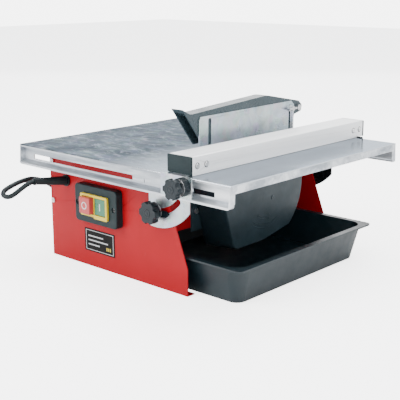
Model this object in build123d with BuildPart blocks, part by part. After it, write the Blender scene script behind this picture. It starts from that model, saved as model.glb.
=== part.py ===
"""Tile cutter: a wet saw on a folded steel base, with a tilting table and a water tray.

Millimetres. X runs across the machine, Y from the switch side to the back and Z up.
The origin is on the floor, under the middle of the machine.
"""
import math
import os

from build123d import *

# ---------------------------------------------------------------- driving dimensions
TABLE_WIDTH = 410
TABLE_TOP = 171
TABLE_FRONT = -182
TABLE_BACK = 198
SHEET = 1.5
CHANNEL_DEPTH = 29.5
SIDE_FLANGE = 11

BLADE_X = 52
BLADE_Y = 30
BLADE_Z = 115
BLADE_RADIUS = 90
BLADE_RIM = 6

PIVOT_Z = 165
SWING_RADIUS = 56
BOLT_ANGLE = 2

BASE_LEFT = -174
BASE_RIGHT = 107
BASE_FRONT = -152
BASE_BACK = 168
BASE_KINK = 38
BASE_TOP = 152
BASE_SHEET = 1.5
FOOT = 14

WALL_X = 43.5
WALL_SHEET = 2
WALL_BOTTOM = 68

FENCE_X = 116
FENCE_WIDTH = 40
FENCE_HEIGHT = 22.8
FENCE_BOTTOM = TABLE_TOP + 1.7
FENCE_FRONT = -176
FENCE_BACK = 218
FENCE_WALL = 1.6
FENCE_SKIRT = 1.4
CLAMP_X = 133
CLAMP_Z = 160
KNOB_FACE = -210

TRAY_RIGHT = 192
TRAY_LEFT = -85
TRAY_RIM = 52
TRAY_WALL = 2.4

CORD_RADIUS = 3.5

CLAMP_BOLT = 2.97
CLAMP_HOLE = 3.1
M4 = 2.05
M5 = 2.55
KNIFE_BOLTS = ((138, 110), (138, 134))

os.makedirs("parts", exist_ok=True)


def save(builder, name):
    """Label one finished piece and write it."""
    builder.part.label = name
    export_step(builder.part, f"parts/{name}.step")


def across(x):
    """A sketch plane facing +X at x: its own x is Y and its own y is Z."""
    return Plane(origin=(x, 0, 0), x_dir=(0, 1, 0), z_dir=(1, 0, 0))


def facing(y):
    """A sketch plane facing -Y at y: its own x is X and its own y is Z."""
    return Plane(origin=(0, y, 0), x_dir=(1, 0, 0), z_dir=(0, -1, 0))


def swing(angle, radius=SWING_RADIUS):
    """The point (x, z) at an angle from straight down, about the tilt pivot."""
    turn = math.radians(angle)
    return (BLADE_X + radius * math.sin(turn), PIVOT_Z - radius * math.cos(turn))


BOLT_X, BOLT_Z = swing(BOLT_ANGLE)

# ---------------------------------------------------------------- table
SLOT_HEIGHT = 6.5
SLOT_Z = 154.2
NOSE = 3.5
WEB_SET_IN = 7
LIP_OUT = 2
TABLE_BOTTOM = TABLE_TOP - CHANNEL_DEPTH
LEFT_SLOT = (-181, 30)
RIGHT_SLOT = (98, 174)
CHANNEL_CORNER = 4
BLADE_SLOT = (40, 56, -56, 172)


def channel(edge, out):
    """Section of the channel along one edge of the table; out is -1 at the front and 1 behind."""
    web = edge - out * WEB_SET_IN
    inner = web - out * SHEET
    lip = edge + out * LIP_OUT
    hem = lip - out * 1.8
    Polyline(
        (edge, TABLE_TOP), (edge, TABLE_TOP - NOSE), (web, TABLE_TOP - NOSE),
        (web, TABLE_BOTTOM + 7), (lip, TABLE_BOTTOM + 2.8), (lip, TABLE_BOTTOM),
        (hem, TABLE_BOTTOM), (hem, TABLE_BOTTOM + 1.6), (inner, TABLE_BOTTOM + 6),
        (inner, TABLE_TOP), close=True,
    )


with BuildPart() as table_top:
    with BuildSketch(across(-TABLE_WIDTH / 2)):
        with BuildLine():
            channel(TABLE_FRONT, -1)
        make_face()
        with BuildLine():
            channel(TABLE_BACK, 1)
        make_face()
        with Locations(((TABLE_FRONT + TABLE_BACK) / 2, TABLE_TOP - SHEET / 2)):
            Rectangle(TABLE_BACK - TABLE_FRONT - 2 * WEB_SET_IN, SHEET)
    extrude(amount=TABLE_WIDTH)
    for side in (-1, 1):
        with BuildSketch(Plane.XY.offset(TABLE_TOP - SIDE_FLANGE)):
            with Locations((side * (TABLE_WIDTH - SHEET) / 2, (TABLE_FRONT + TABLE_BACK) / 2)):
                Rectangle(SHEET, TABLE_BACK - TABLE_FRONT)
        extrude(amount=SIDE_FLANGE - SHEET / 2)
    for edge, out in ((TABLE_FRONT, -1), (TABLE_BACK, 1)):
        for start in (-TABLE_WIDTH / 2, TABLE_WIDTH / 2 - SHEET):
            with BuildSketch(across(start)):
                with BuildLine():
                    web = edge - out * WEB_SET_IN
                    lip = edge + out * LIP_OUT
                    Polyline(
                        (web, TABLE_TOP - NOSE), (edge, TABLE_TOP - NOSE), (lip, TABLE_BOTTOM),
                        (web, TABLE_BOTTOM), close=True,
                    )
                make_face()
            extrude(amount=SHEET)
    nose_edges = table_top.edges().filter_by(Axis.X).group_by(Axis.Z)[-1]
    fillet([nose_edges.sort_by(Axis.Y)[0], nose_edges.sort_by(Axis.Y)[-1]], radius=1.2)
    with BuildSketch(facing(TABLE_FRONT - 5)):
        for start, end in (LEFT_SLOT, RIGHT_SLOT):
            with Locations(((start + end) / 2, SLOT_Z)):
                Rectangle(end - start, SLOT_HEIGHT)
        with Locations((BLADE_X, SLOT_Z - 1)):
            Rectangle(1.4, 5)
    extrude(amount=-(TABLE_BACK - TABLE_FRONT + 10), mode=Mode.SUBTRACT)
    with BuildSketch(facing(TABLE_FRONT - 5)):
        for side in (-1, 1):
            with Locations((side * (TABLE_WIDTH - CHANNEL_CORNER) / 2, TABLE_BOTTOM + CHANNEL_CORNER / 2)):
                Rectangle(CHANNEL_CORNER, CHANNEL_CORNER)
            with Locations((side * (TABLE_WIDTH / 2 - CHANNEL_CORNER), TABLE_BOTTOM + CHANNEL_CORNER)):
                Circle(CHANNEL_CORNER, mode=Mode.SUBTRACT)
    extrude(amount=-(TABLE_BACK - TABLE_FRONT + 10), mode=Mode.SUBTRACT)
    left, right, front, back = BLADE_SLOT
    with BuildSketch(Plane.XY.offset(TABLE_TOP + 1)):
        with Locations(((left + right) / 2, (front + back) / 2)):
            RectangleRounded(right - left, back - front, 3)
    extrude(amount=-10, mode=Mode.SUBTRACT)
save(table_top, "table_top")

# ---------------------------------------------------------------- tilt quadrants
PLATE = 2
QUADRANT_RADIUS = 79
QUADRANT_LEFT = 39
QUADRANT_RIGHT = 112.5
QUADRANT_GAP = 0.5
SLOT_END = 47.5
SLOT_START = -0.5
SLOT_HALF = 4.1
PIN_RADIUS = 2
EAR_RADIUS = 4.2


def quadrant(face, out):
    """A quadrant plate whose back is at face, with a welding flange that turns outward."""
    low_left = (QUADRANT_LEFT, PIVOT_Z - math.sqrt(QUADRANT_RADIUS**2 - (BLADE_X - QUADRANT_LEFT) ** 2))
    low_right = (QUADRANT_RIGHT, PIVOT_Z - math.sqrt(QUADRANT_RADIUS**2 - (QUADRANT_RIGHT - BLADE_X) ** 2))
    top = TABLE_TOP - SHEET
    with BuildPart() as plate:
        with BuildSketch(facing(face)):
            with BuildLine():
                Line((QUADRANT_LEFT, top), low_left)
                ThreePointArc(low_left, swing(20, QUADRANT_RADIUS), low_right)
                Line(low_right, (QUADRANT_RIGHT, top))
                Line((QUADRANT_RIGHT, top), (QUADRANT_LEFT, top))
            make_face()
            with BuildLine(mode=Mode.PRIVATE) as path:
                ThreePointArc(swing(SLOT_START), swing(20), swing(SLOT_END))
            SlotArc(path.edges()[0], 2 * SLOT_HALF, mode=Mode.SUBTRACT)
            with Locations((BLADE_X, PIVOT_Z)):
                Circle(PIN_RADIUS + 0.05, mode=Mode.SUBTRACT)
            with Locations((BLADE_X, top - 1)):
                Rectangle(12, 2.1, mode=Mode.SUBTRACT)
        extrude(amount=-out * PLATE)
        for start, end in ((QUADRANT_LEFT, 45), (62, QUADRANT_RIGHT)):
            with BuildSketch(Plane.XY.offset(top)):
                with Locations(((start + end) / 2, face + out * (PLATE + 7) - out * 0.1)):
                    Rectangle(end - start, 14.2)
            extrude(amount=-PLATE)
    return plate


with BuildPart() as quadrants:
    add(quadrant(BASE_FRONT - QUADRANT_GAP, -1).part)
    add(quadrant(BASE_BACK + QUADRANT_GAP, 1).part)
save(quadrants, "quadrants")

# ---------------------------------------------------------------- base
SWITCH_X = -60
SWITCH_Z = 97.5
SWITCH_WIDTH = 88
SWITCH_HEIGHT = 55
SWITCH_DEPTH = 12
GLAND_X = -136
GLAND_Z = 121
GLAND_RADIUS = 6.5
SCREW_X = BASE_LEFT + 6
SCREW_HEIGHTS = (86, 146)


def slant(z):
    """Where the sloping right edge of an end plate is at height z."""
    return BASE_RIGHT - (z - BASE_KINK) * (BASE_RIGHT - 55) / (TABLE_TOP - BASE_KINK)


def end_plate(face, inward, holes):
    """A base end plate whose outside is at face; inward is 1 at the front and -1 behind."""
    with BuildPart() as plate:
        with BuildSketch(facing(face)):
            with BuildLine():
                Polyline(
                    (BASE_LEFT, 0), (BASE_RIGHT, 0), (BASE_RIGHT, BASE_KINK),
                    (slant(BASE_TOP), BASE_TOP), (BASE_LEFT, BASE_TOP), close=True,
                )
            make_face()
            with Locations((BLADE_X, (BASE_TOP + PIVOT_Z) / 2 - 1)):
                Rectangle(2 * EAR_RADIUS, PIVOT_Z - BASE_TOP + 2)
            with Locations((BLADE_X, PIVOT_Z)):
                Circle(EAR_RADIUS)
                Circle(PIN_RADIUS, mode=Mode.SUBTRACT)
            with Locations((BOLT_X, BOLT_Z)):
                Circle(3, mode=Mode.SUBTRACT)
            with Locations([(SCREW_X, z) for z in SCREW_HEIGHTS]):
                Circle(M4, mode=Mode.SUBTRACT)
            if holes:
                with Locations((GLAND_X, GLAND_Z)):
                    Circle(GLAND_RADIUS, mode=Mode.SUBTRACT)
                with Locations((SWITCH_X, SWITCH_Z)):
                    Rectangle(54, 30, mode=Mode.SUBTRACT)
                with Locations((SWITCH_X - 38, SWITCH_Z), (SWITCH_X + 38, SWITCH_Z)):
                    Circle(M4, mode=Mode.SUBTRACT)
        extrude(amount=-inward * BASE_SHEET)
        with BuildSketch(Plane.XY):
            with Locations(((BASE_LEFT + BASE_RIGHT) / 2, face + inward * FOOT / 2)):
                Rectangle(BASE_RIGHT - BASE_LEFT, FOOT)
        extrude(amount=BASE_SHEET)
    return plate


base_front_plate = end_plate(BASE_FRONT, 1, True)
save(base_front_plate, "base_front_plate")
base_back_plate = end_plate(BASE_BACK, -1, False)
save(base_back_plate, "base_back_plate")

INSIDE_FRONT = BASE_FRONT + BASE_SHEET
INSIDE_BACK = BASE_BACK - BASE_SHEET
BASE_MIDDLE = (BASE_FRONT + BASE_BACK) / 2

with BuildPart() as base_left_cover:
    with BuildSketch(Plane.XY.offset(BASE_SHEET)):
        with Locations((BASE_LEFT + 7, BASE_MIDDLE)):
            Rectangle(14, INSIDE_BACK - INSIDE_FRONT)
        with Locations((BASE_LEFT + 8.75, BASE_MIDDLE)):
            Rectangle(14.5, INSIDE_BACK - INSIDE_FRONT - 2 * BASE_SHEET, mode=Mode.SUBTRACT)
    extrude(amount=BASE_TOP - BASE_SHEET)
    with BuildSketch(across(BASE_LEFT - 1)):
        with Locations([(BASE_MIDDLE + 12 * i, 118) for i in range(-4, 5)]):
            SlotOverall(34, 4, rotation=90)
    extrude(amount=6, mode=Mode.SUBTRACT)
    with BuildSketch(facing(BASE_FRONT - 1)):
        with Locations([(SCREW_X, z) for z in SCREW_HEIGHTS]):
            Circle(M4)
    extrude(amount=-(BASE_BACK - BASE_FRONT + 2), mode=Mode.SUBTRACT)
save(base_left_cover, "base_left_cover")

SHAFT_HOLE = 23
GUARD_SCREWS = ((-70, 91), (108, 140))
MOTOR_BOLT_CIRCLE = 36

with BuildPart() as motor_bulkhead:
    with BuildSketch(across(WALL_X - WALL_SHEET / 2)):
        with Locations((BASE_MIDDLE, (WALL_BOTTOM + BASE_TOP) / 2)):
            Rectangle(INSIDE_BACK - INSIDE_FRONT, BASE_TOP - WALL_BOTTOM)
        with Locations((BLADE_Y, BLADE_Z)):
            Circle(SHAFT_HOLE, mode=Mode.SUBTRACT)
            with PolarLocations(MOTOR_BOLT_CIRCLE, 4, start_angle=45):
                Circle(M5, mode=Mode.SUBTRACT)
        with Locations(GUARD_SCREWS):
            Circle(M4, mode=Mode.SUBTRACT)
        with Locations(*KNIFE_BOLTS):
            Circle(M5, mode=Mode.SUBTRACT)
    extrude(amount=WALL_SHEET)
    with BuildSketch(Plane.XY.offset(WALL_BOTTOM)):
        for y in (INSIDE_FRONT + BASE_SHEET / 2, INSIDE_BACK - BASE_SHEET / 2):
            with Locations((WALL_X - 11, y)):
                Rectangle(20.5, BASE_SHEET)
    extrude(amount=BASE_TOP - WALL_BOTTOM)
save(motor_bulkhead, "motor_bulkhead")


PAN_HEIGHT = 2.2


def pan_screw(x, y, z, out, length, radius=2, head=3.6):
    """A pan-head screw along Y whose head sits on y and stands out by PAN_HEIGHT."""
    with BuildSketch(facing(y)) as shank:
        with Locations((x, z)):
            Circle(radius)
    extrude(shank.sketch, amount=out * length)
    with BuildSketch(facing(y)) as pan:
        with Locations((x, z)):
            Circle(head)
    extrude(pan.sketch, amount=-out * PAN_HEIGHT)
    with BuildSketch(facing(y + out * PAN_HEIGHT)) as cross:
        with Locations((x, z)):
            Rectangle(4.4, 0.8)
            Rectangle(0.8, 4.4)
    extrude(cross.sketch, amount=out * 1.2, mode=Mode.SUBTRACT)


with BuildPart() as base_screws:
    for z in SCREW_HEIGHTS:
        pan_screw(SCREW_X, BASE_FRONT, z, -1, 6)
        pan_screw(SCREW_X, BASE_BACK, z, 1, 6)
save(base_screws, "base_screws")

PLATE_PLACE = (-66, 40)
PLATE_SIZE = (64, 34)

with BuildPart() as nameplate:
    with BuildSketch(facing(BASE_FRONT)):
        with Locations(PLATE_PLACE):
            RectangleRounded(*PLATE_SIZE, 1)
    extrude(amount=0.5)
save(nameplate, "nameplate")

# ---------------------------------------------------------------- tilt lock and pivot
WASHER = 1.5


def ring(x, z, y, out, thickness, outer, inner):
    """A washer round the Y direction, from y outward."""
    with BuildSketch(facing(y)) as flat:
        with Locations((x, z)):
            Circle(outer)
            Circle(inner, mode=Mode.SUBTRACT)
    extrude(flat.sketch, amount=-out * thickness)


QUADRANT_FACE_FRONT = BASE_FRONT - QUADRANT_GAP - PLATE
QUADRANT_FACE_BACK = BASE_BACK + QUADRANT_GAP + PLATE
POINTER = 1.8

with BuildPart() as pivot_pins:
    for face, out in ((BASE_FRONT, -1), (BASE_BACK, 1)):
        start = face - out * (BASE_SHEET + 2)
        with BuildSketch(facing(start)):
            with Locations((BLADE_X, PIVOT_Z)):
                Circle(PIN_RADIUS)
        extrude(amount=-out * (BASE_SHEET + 2 + QUADRANT_GAP + PLATE + 0.4))
        ring(BLADE_X, PIVOT_Z, start, out, 2, 3.6, 1)
        ring(BLADE_X, PIVOT_Z, face + out * (QUADRANT_GAP + PLATE + 0.3), out, 1.5, 3.6, 1)
save(pivot_pins, "pivot_pins")

with BuildPart() as tilt_bolts:
    for face, out in ((BASE_FRONT, -1), (BASE_BACK, 1)):
        inside = face - out * BASE_SHEET
        with BuildSketch(facing(inside)):
            with Locations((BOLT_X, BOLT_Z)):
                RegularPolygon(5.8, 6)
        extrude(amount=out * 4)
        with BuildSketch(facing(inside)):
            with Locations((BOLT_X, BOLT_Z)):
                Circle(CLAMP_BOLT)
        extrude(amount=-out * (BASE_SHEET + 16))
save(tilt_bolts, "tilt_bolts")

with BuildPart() as tilt_pointer:
    with BuildSketch(facing(QUADRANT_FACE_FRONT - 0.3)):
        with Locations((BOLT_X, BOLT_Z)):
            Circle(8.5)
        with BuildLine():
            Polyline(
                (BOLT_X, BOLT_Z - 8), (BOLT_X + 19, BOLT_Z - 6), (BOLT_X + 24, BOLT_Z - 1.5),
                (BOLT_X + 20, BOLT_Z + 2.5), (BOLT_X, BOLT_Z + 3), close=True,
            )
        make_face()
        with Locations((BOLT_X, BOLT_Z)):
            Circle(CLAMP_HOLE, mode=Mode.SUBTRACT)
    extrude(amount=POINTER)
save(tilt_pointer, "tilt_pointer")

with BuildPart() as tilt_washers:
    ring(BOLT_X, BOLT_Z, QUADRANT_FACE_FRONT - 0.3 - POINTER, -1, WASHER, 11, CLAMP_HOLE)
    ring(BOLT_X, BOLT_Z, QUADRANT_FACE_BACK + 0.3, 1, WASHER, 11, CLAMP_HOLE)
save(tilt_washers, "tilt_washers")


def star_knob(x, z, seat, out, neck, head, radius, neck_radius, bore_depth):
    """A six-lobed knob that turns about Y, standing out from seat."""
    with BuildPart() as knob:
        with BuildSketch(facing(seat)):
            with Locations((x, z)):
                Circle(neck_radius)
        extrude(amount=-out * (neck + 1))
        with BuildSketch(facing(seat + out * neck)):
            with Locations((x, z)):
                Circle(radius)
                with PolarLocations(radius + 2.2, 6, start_angle=30):
                    Circle(4.6, mode=Mode.SUBTRACT)
        extrude(amount=-out * head)
        face_y = seat + out * (neck + head)
        rim = knob.edges().filter_by_position(Axis.Y, face_y - 0.01, face_y + 0.01)
        fillet(rim, radius=1.0)
        with BuildSketch(facing(seat)):
            with Locations((x, z)):
                Circle(3)
        extrude(amount=-out * bore_depth, mode=Mode.SUBTRACT)
    return knob


TILT_KNOB_RADIUS = 15.5
TILT_NECK = 4.5
TILT_HEAD = 10.5
FRONT_SEAT = QUADRANT_FACE_FRONT - 0.3 - POINTER - WASHER - 0.1
BACK_SEAT = QUADRANT_FACE_BACK + 0.3 + WASHER + 0.1
tilt_knob_front = star_knob(BOLT_X, BOLT_Z, FRONT_SEAT, -1, TILT_NECK, TILT_HEAD, TILT_KNOB_RADIUS, 9, 12)
save(tilt_knob_front, "tilt_knob_front")
tilt_knob_back = star_knob(BOLT_X, BOLT_Z, BACK_SEAT, 1, TILT_NECK, TILT_HEAD, TILT_KNOB_RADIUS, 9, 13)
save(tilt_knob_back, "tilt_knob_back")

# ---------------------------------------------------------------- fence
CAP = 2.5
PLUG_DEPTH = 32
RIVET_INSET = 20.3
RIVET_APART = 8.5
FENCE_TOP = FENCE_BOTTOM + FENCE_HEIGHT
FENCE_MIDDLE = (FENCE_BOTTOM + FENCE_TOP) / 2
RIVET_Z = FENCE_MIDDLE - 1
BRACKET_Y = TABLE_FRONT - LIP_OUT - 0.5
BRACKET = 1.5

with BuildPart() as fence_tube:
    with BuildSketch(facing(FENCE_FRONT + CAP)):
        with Locations((FENCE_X, FENCE_MIDDLE)):
            RectangleRounded(FENCE_WIDTH, FENCE_HEIGHT, 1.2)
            Rectangle(FENCE_WIDTH - 2 * FENCE_WALL, FENCE_HEIGHT - 2 * FENCE_WALL, mode=Mode.SUBTRACT)
        with Locations((FENCE_X + (FENCE_WIDTH - FENCE_WALL) / 2, FENCE_BOTTOM)):
            Rectangle(FENCE_WALL, 2 * FENCE_SKIRT)
    extrude(amount=-(FENCE_BACK - FENCE_FRONT - 2 * CAP))
    with BuildSketch(across(FENCE_X)):
        for end in (FENCE_FRONT + RIVET_INSET, FENCE_BACK - RIVET_INSET):
            with Locations((end - RIVET_APART, RIVET_Z), (end + RIVET_APART, RIVET_Z)):
                Circle(1.6)
    extrude(amount=FENCE_WIDTH / 2 + 1, mode=Mode.SUBTRACT)
save(fence_tube, "fence_tube")


def fence_cap(outside, inward):
    """A moulded end cap with a plug that fills the tube's mouth."""
    with BuildPart() as cap:
        with BuildSketch(facing(outside)):
            with Locations((FENCE_X, FENCE_MIDDLE)):
                RectangleRounded(FENCE_WIDTH + 0.8, FENCE_HEIGHT, 1.4)
            with Locations((FENCE_X + (FENCE_WIDTH - FENCE_WALL) / 2 + 0.4, FENCE_BOTTOM)):
                Rectangle(FENCE_WALL, 2 * FENCE_SKIRT)
        extrude(amount=-inward * CAP)
        with BuildSketch(facing(outside + inward * CAP)):
            with Locations((FENCE_X, FENCE_MIDDLE)):
                Rectangle(FENCE_WIDTH - 2 * FENCE_WALL - 0.1, FENCE_HEIGHT - 2 * FENCE_WALL - 0.1)
        extrude(amount=-inward * PLUG_DEPTH)
        with BuildSketch(across(FENCE_X)):
            middle = outside + inward * RIVET_INSET
            with Locations((middle - RIVET_APART, RIVET_Z), (middle + RIVET_APART, RIVET_Z)):
                Circle(1.6)
        extrude(amount=FENCE_WIDTH / 2, mode=Mode.SUBTRACT)
    return cap


with BuildPart() as fence_caps:
    add(fence_cap(FENCE_FRONT, 1).part)
    add(fence_cap(FENCE_BACK, -1).part)
save(fence_caps, "fence_caps")

with BuildPart() as fence_rivets:
    for end in (FENCE_FRONT + RIVET_INSET, FENCE_BACK - RIVET_INSET):
        for y in (end - RIVET_APART, end + RIVET_APART):
            with BuildSketch(across(FENCE_X + 6)):
                with Locations((y, RIVET_Z)):
                    Circle(1.6)
            extrude(amount=FENCE_WIDTH / 2 - 6)
            with BuildSketch(across(FENCE_X + FENCE_WIDTH / 2)):
                with Locations((y, RIVET_Z)):
                    Circle(3.4)
            extrude(amount=1.2, taper=25)
save(fence_rivets, "fence_rivets")


TONGUE_X = 129.5
TONGUE_WIDTH = 11
TONGUE_HEIGHT = 4.2
TONGUE_Z = SLOT_Z - 0.8
TONGUE_REACH = TABLE_FRONT + WEB_SET_IN + SHEET + 3 - BRACKET_Y


def fence_bracket(plate_y, out, low, hole):
    """An angle bracket: a tab under the fence and a plate that hangs over the channel.

    The front one is holed for the clamp bolt and has a tongue that runs in the table's slot.
    """
    start = plate_y
    with BuildPart() as bracket:
        with BuildSketch(facing(start)):
            with Locations((119.5, (low + FENCE_BOTTOM) / 2)):
                RectangleRounded(53, FENCE_BOTTOM - low, 1.2)
            if hole:
                with Locations((CLAMP_X, CLAMP_Z)):
                    Circle(CLAMP_HOLE, mode=Mode.SUBTRACT)
            else:
                with Locations((FENCE_X + (FENCE_WIDTH - FENCE_WALL) / 2, FENCE_BOTTOM)):
                    Rectangle(FENCE_WALL + 0.4, 2 * FENCE_SKIRT + 0.4, mode=Mode.SUBTRACT)
        extrude(amount=-out * BRACKET)
        inner = start - out * 46
        with BuildSketch(Plane.XY.offset(FENCE_BOTTOM)):
            with Locations((FENCE_X, (start + inner) / 2)):
                Rectangle(34, 46)
        extrude(amount=-BRACKET)
        if hole:
            with BuildSketch(facing(start)):
                with Locations((TONGUE_X, TONGUE_Z)):
                    Rectangle(TONGUE_WIDTH, TONGUE_HEIGHT)
            extrude(amount=-TONGUE_REACH)
    return bracket


with BuildPart() as fence_brackets:
    add(fence_bracket(BRACKET_Y, -1, 144.5, True).part)
    add(fence_bracket(TABLE_BACK + LIP_OUT + 0.5, 1, 144.5, False).part)
save(fence_brackets, "fence_brackets")

COLLAR = 9
COLLAR_Y = BRACKET_Y - BRACKET
FENCE_WASHER_Y = COLLAR_Y - COLLAR
FENCE_SEAT = FENCE_WASHER_Y - WASHER - 0.1

with BuildPart() as fence_collar:
    ring(CLAMP_X, CLAMP_Z, COLLAR_Y, -1, COLLAR, 12, CLAMP_HOLE)
    with BuildSketch(facing(COLLAR_Y - 1.5)):
        with Locations((CLAMP_X, CLAMP_Z)):
            with PolarLocations(12.4, 24):
                Circle(0.8)
    extrude(amount=COLLAR - 3, mode=Mode.SUBTRACT)
save(fence_collar, "fence_collar")

with BuildPart() as fence_washer:
    ring(CLAMP_X, CLAMP_Z, FENCE_WASHER_Y, -1, WASHER, 11, CLAMP_HOLE)
save(fence_washer, "fence_washer")

WEB_FACE = TABLE_FRONT + WEB_SET_IN - 0.2

with BuildPart() as fence_clamp_bolt:
    with BuildSketch(facing(WEB_FACE)):
        with Locations((CLAMP_X, CLAMP_Z)):
            Circle(4.2)
    extrude(amount=2)
    with BuildSketch(facing(WEB_FACE)):
        with Locations((CLAMP_X, CLAMP_Z)):
            Circle(CLAMP_BOLT)
    extrude(amount=WEB_FACE - FENCE_SEAT + 9)
save(fence_clamp_bolt, "fence_clamp_bolt")

FENCE_NECK = 5.5
FENCE_HEAD = FENCE_SEAT - FENCE_NECK - KNOB_FACE
fence_knob = star_knob(CLAMP_X, CLAMP_Z, FENCE_SEAT, -1, FENCE_NECK, FENCE_HEAD, 13.5, 8, 11)
save(fence_knob, "fence_knob")

# ---------------------------------------------------------------- water tray
TRAY_FRONT = -146.5
TRAY_BACK = 162.5
TRAY_DRAFT = 11.5
TRAY_LIP = 9
TRAY_MIDDLE = ((TRAY_LEFT + TRAY_RIGHT) / 2, (TRAY_FRONT + TRAY_BACK) / 2)
TRAY_SIZE = (TRAY_RIGHT - TRAY_LEFT, TRAY_BACK - TRAY_FRONT)


def tray_outline(inset, corner):
    """The tray's rounded outline, set in from the edge of its rim."""
    with Locations(TRAY_MIDDLE):
        RectangleRounded(TRAY_SIZE[0] - 2 * inset, TRAY_SIZE[1] - 2 * inset, corner)


FLOOR_INSET = TRAY_LIP + TRAY_DRAFT - TRAY_WALL

with BuildPart() as water_tray:
    with BuildSketch(Plane.XY):
        tray_outline(FLOOR_INSET, 14)
    with BuildSketch(Plane.XY.offset(TRAY_RIM - TRAY_WALL)):
        tray_outline(TRAY_LIP - TRAY_WALL, 22)
    loft()
    with BuildSketch(Plane.XY.offset(TRAY_RIM - TRAY_WALL)):
        tray_outline(0, 8)
    extrude(amount=TRAY_WALL)
    with BuildSketch(Plane.XY.offset(TRAY_WALL)):
        tray_outline(FLOOR_INSET + TRAY_WALL, 12)
    with BuildSketch(Plane.XY.offset(TRAY_RIM + 0.1)):
        tray_outline(TRAY_LIP, 20)
    loft(mode=Mode.SUBTRACT)
save(water_tray, "water_tray")

# ---------------------------------------------------------------- motor
SHAFT_RADIUS = 5.97
MOTOR_LEFT = -96
MOTOR_RIGHT = 31
MOTOR_RADIUS = 44
WALL_LEFT_FACE = WALL_X - WALL_SHEET / 2


def disc(x, length, outer, inner=0.0):
    """A round of material about the motor's axis, from x towards +X."""
    with BuildSketch(across(x)) as section:
        with Locations((BLADE_Y, BLADE_Z)):
            Circle(outer)
            if inner:
                Circle(inner, mode=Mode.SUBTRACT)
    extrude(section.sketch, amount=length)


with BuildPart() as motor_housing:
    disc(MOTOR_LEFT, MOTOR_RIGHT - MOTOR_LEFT, MOTOR_RADIUS, MOTOR_RADIUS - 3)
    with BuildSketch(across(MOTOR_LEFT + 12)):
        with Locations((BLADE_Y, BLADE_Z)):
            with PolarLocations(MOTOR_RADIUS + 0.8, 24):
                Rectangle(5, 1.6)
    extrude(amount=MOTOR_RIGHT - MOTOR_LEFT - 24)
save(motor_housing, "motor_housing")

with BuildPart() as motor_shields:
    disc(MOTOR_LEFT - 12, 12, MOTOR_RADIUS, 16)
    disc(MOTOR_LEFT - 14, 3, 26, 7)
    with BuildSketch(across(MOTOR_LEFT - 13)):
        with Locations((BLADE_Y, BLADE_Z)):
            with PolarLocations(34, 10):
                SlotOverall(14, 4)
    extrude(amount=14, mode=Mode.SUBTRACT)
    disc(MOTOR_RIGHT, WALL_LEFT_FACE - MOTOR_RIGHT, MOTOR_RADIUS, 16)
save(motor_shields, "motor_shields")

with BuildPart() as motor_bearings:
    disc(MOTOR_LEFT - 11, 10, 16, 6)
    disc(MOTOR_RIGHT + 1, 10, 16, 6)
save(motor_bearings, "motor_bearings")

with BuildPart() as stator:
    disc(-72, 70, MOTOR_RADIUS - 3, 22.6)
    with BuildSketch(across(-72)):
        with Locations((BLADE_Y, BLADE_Z)):
            with PolarLocations(26, 12):
                Rectangle(10, 3)
    extrude(amount=70, mode=Mode.SUBTRACT)
save(stator, "stator")

with BuildPart() as stator_windings:
    disc(-80, 8, 37, 26)
    disc(-2, 8, 37, 26)
save(stator_windings, "stator_windings")

with BuildPart() as rotor:
    disc(-72, 70, 22, SHAFT_RADIUS)
save(rotor, "rotor")

with BuildPart() as cooling_fan:
    disc(9, 2, 34, SHAFT_RADIUS)
    disc(9, 12, 10, SHAFT_RADIUS)
    with BuildSketch(across(10)):
        with Locations((BLADE_Y, BLADE_Z)):
            with PolarLocations(21.5, 9):
                Rectangle(25, 1.8)
    extrude(amount=11)
save(cooling_fan, "cooling_fan")

with BuildPart() as motor_shaft:
    disc(-109, 175, SHAFT_RADIUS)
save(motor_shaft, "motor_shaft")

with BuildPart() as motor_bolts:
    for turn in range(4):
        angle = math.radians(45 + 90 * turn)
        place = (BLADE_Y + MOTOR_BOLT_CIRCLE * math.cos(angle), BLADE_Z + MOTOR_BOLT_CIRCLE * math.sin(angle))
        with BuildSketch(across(WALL_X + WALL_SHEET / 2)):
            with Locations(place):
                Circle(4.2)
        extrude(amount=3)
        with BuildSketch(across(WALL_X + WALL_SHEET / 2)):
            with Locations(place):
                Circle(2.5)
        extrude(amount=-2)
save(motor_bolts, "motor_bolts")

# ---------------------------------------------------------------- blade
DISC = 1.6
RIM = 2.2

with BuildPart() as blade_disc:
    disc(BLADE_X - DISC / 2, DISC, BLADE_RADIUS - BLADE_RIM, 11.1)
    with BuildSketch(across(BLADE_X - DISC)):
        with Locations((BLADE_Y, BLADE_Z)):
            with PolarLocations(52, 8):
                Circle(6)
    extrude(amount=2 * DISC, mode=Mode.SUBTRACT)
save(blade_disc, "blade_disc")

with BuildPart() as diamond_rim:
    disc(BLADE_X - RIM / 2, RIM, BLADE_RADIUS, BLADE_RADIUS - BLADE_RIM)
save(diamond_rim, "diamond_rim")

with BuildPart() as blade_flanges:
    disc(46.5, BLADE_X - DISC / 2 - 46.5, 20, SHAFT_RADIUS)
    disc(BLADE_X - DISC / 2 - 0.5, DISC + 0.3, 11.1, SHAFT_RADIUS)
    disc(BLADE_X + DISC / 2, 4, 20, SHAFT_RADIUS)
save(blade_flanges, "blade_flanges")

with BuildPart() as blade_nut:
    with BuildSketch(across(BLADE_X + DISC / 2 + 4)):
        with Locations((BLADE_Y, BLADE_Z)):
            RegularPolygon(10.5, 6)
            Circle(SHAFT_RADIUS, mode=Mode.SUBTRACT)
    extrude(amount=7)
save(blade_nut, "blade_nut")

# ---------------------------------------------------------------- lower guard
GUARD_FACE = 95
GUARD_MOUTH = WALL_X + WALL_SHEET / 2 + 2
GUARD_WALL = 2.4
GUARD_WIDE = 96
GUARD_NARROW = 86.5
GUARD_BOTTOM = 37
GUARD_PLATE = WALL_X + WALL_SHEET / 2

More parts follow.
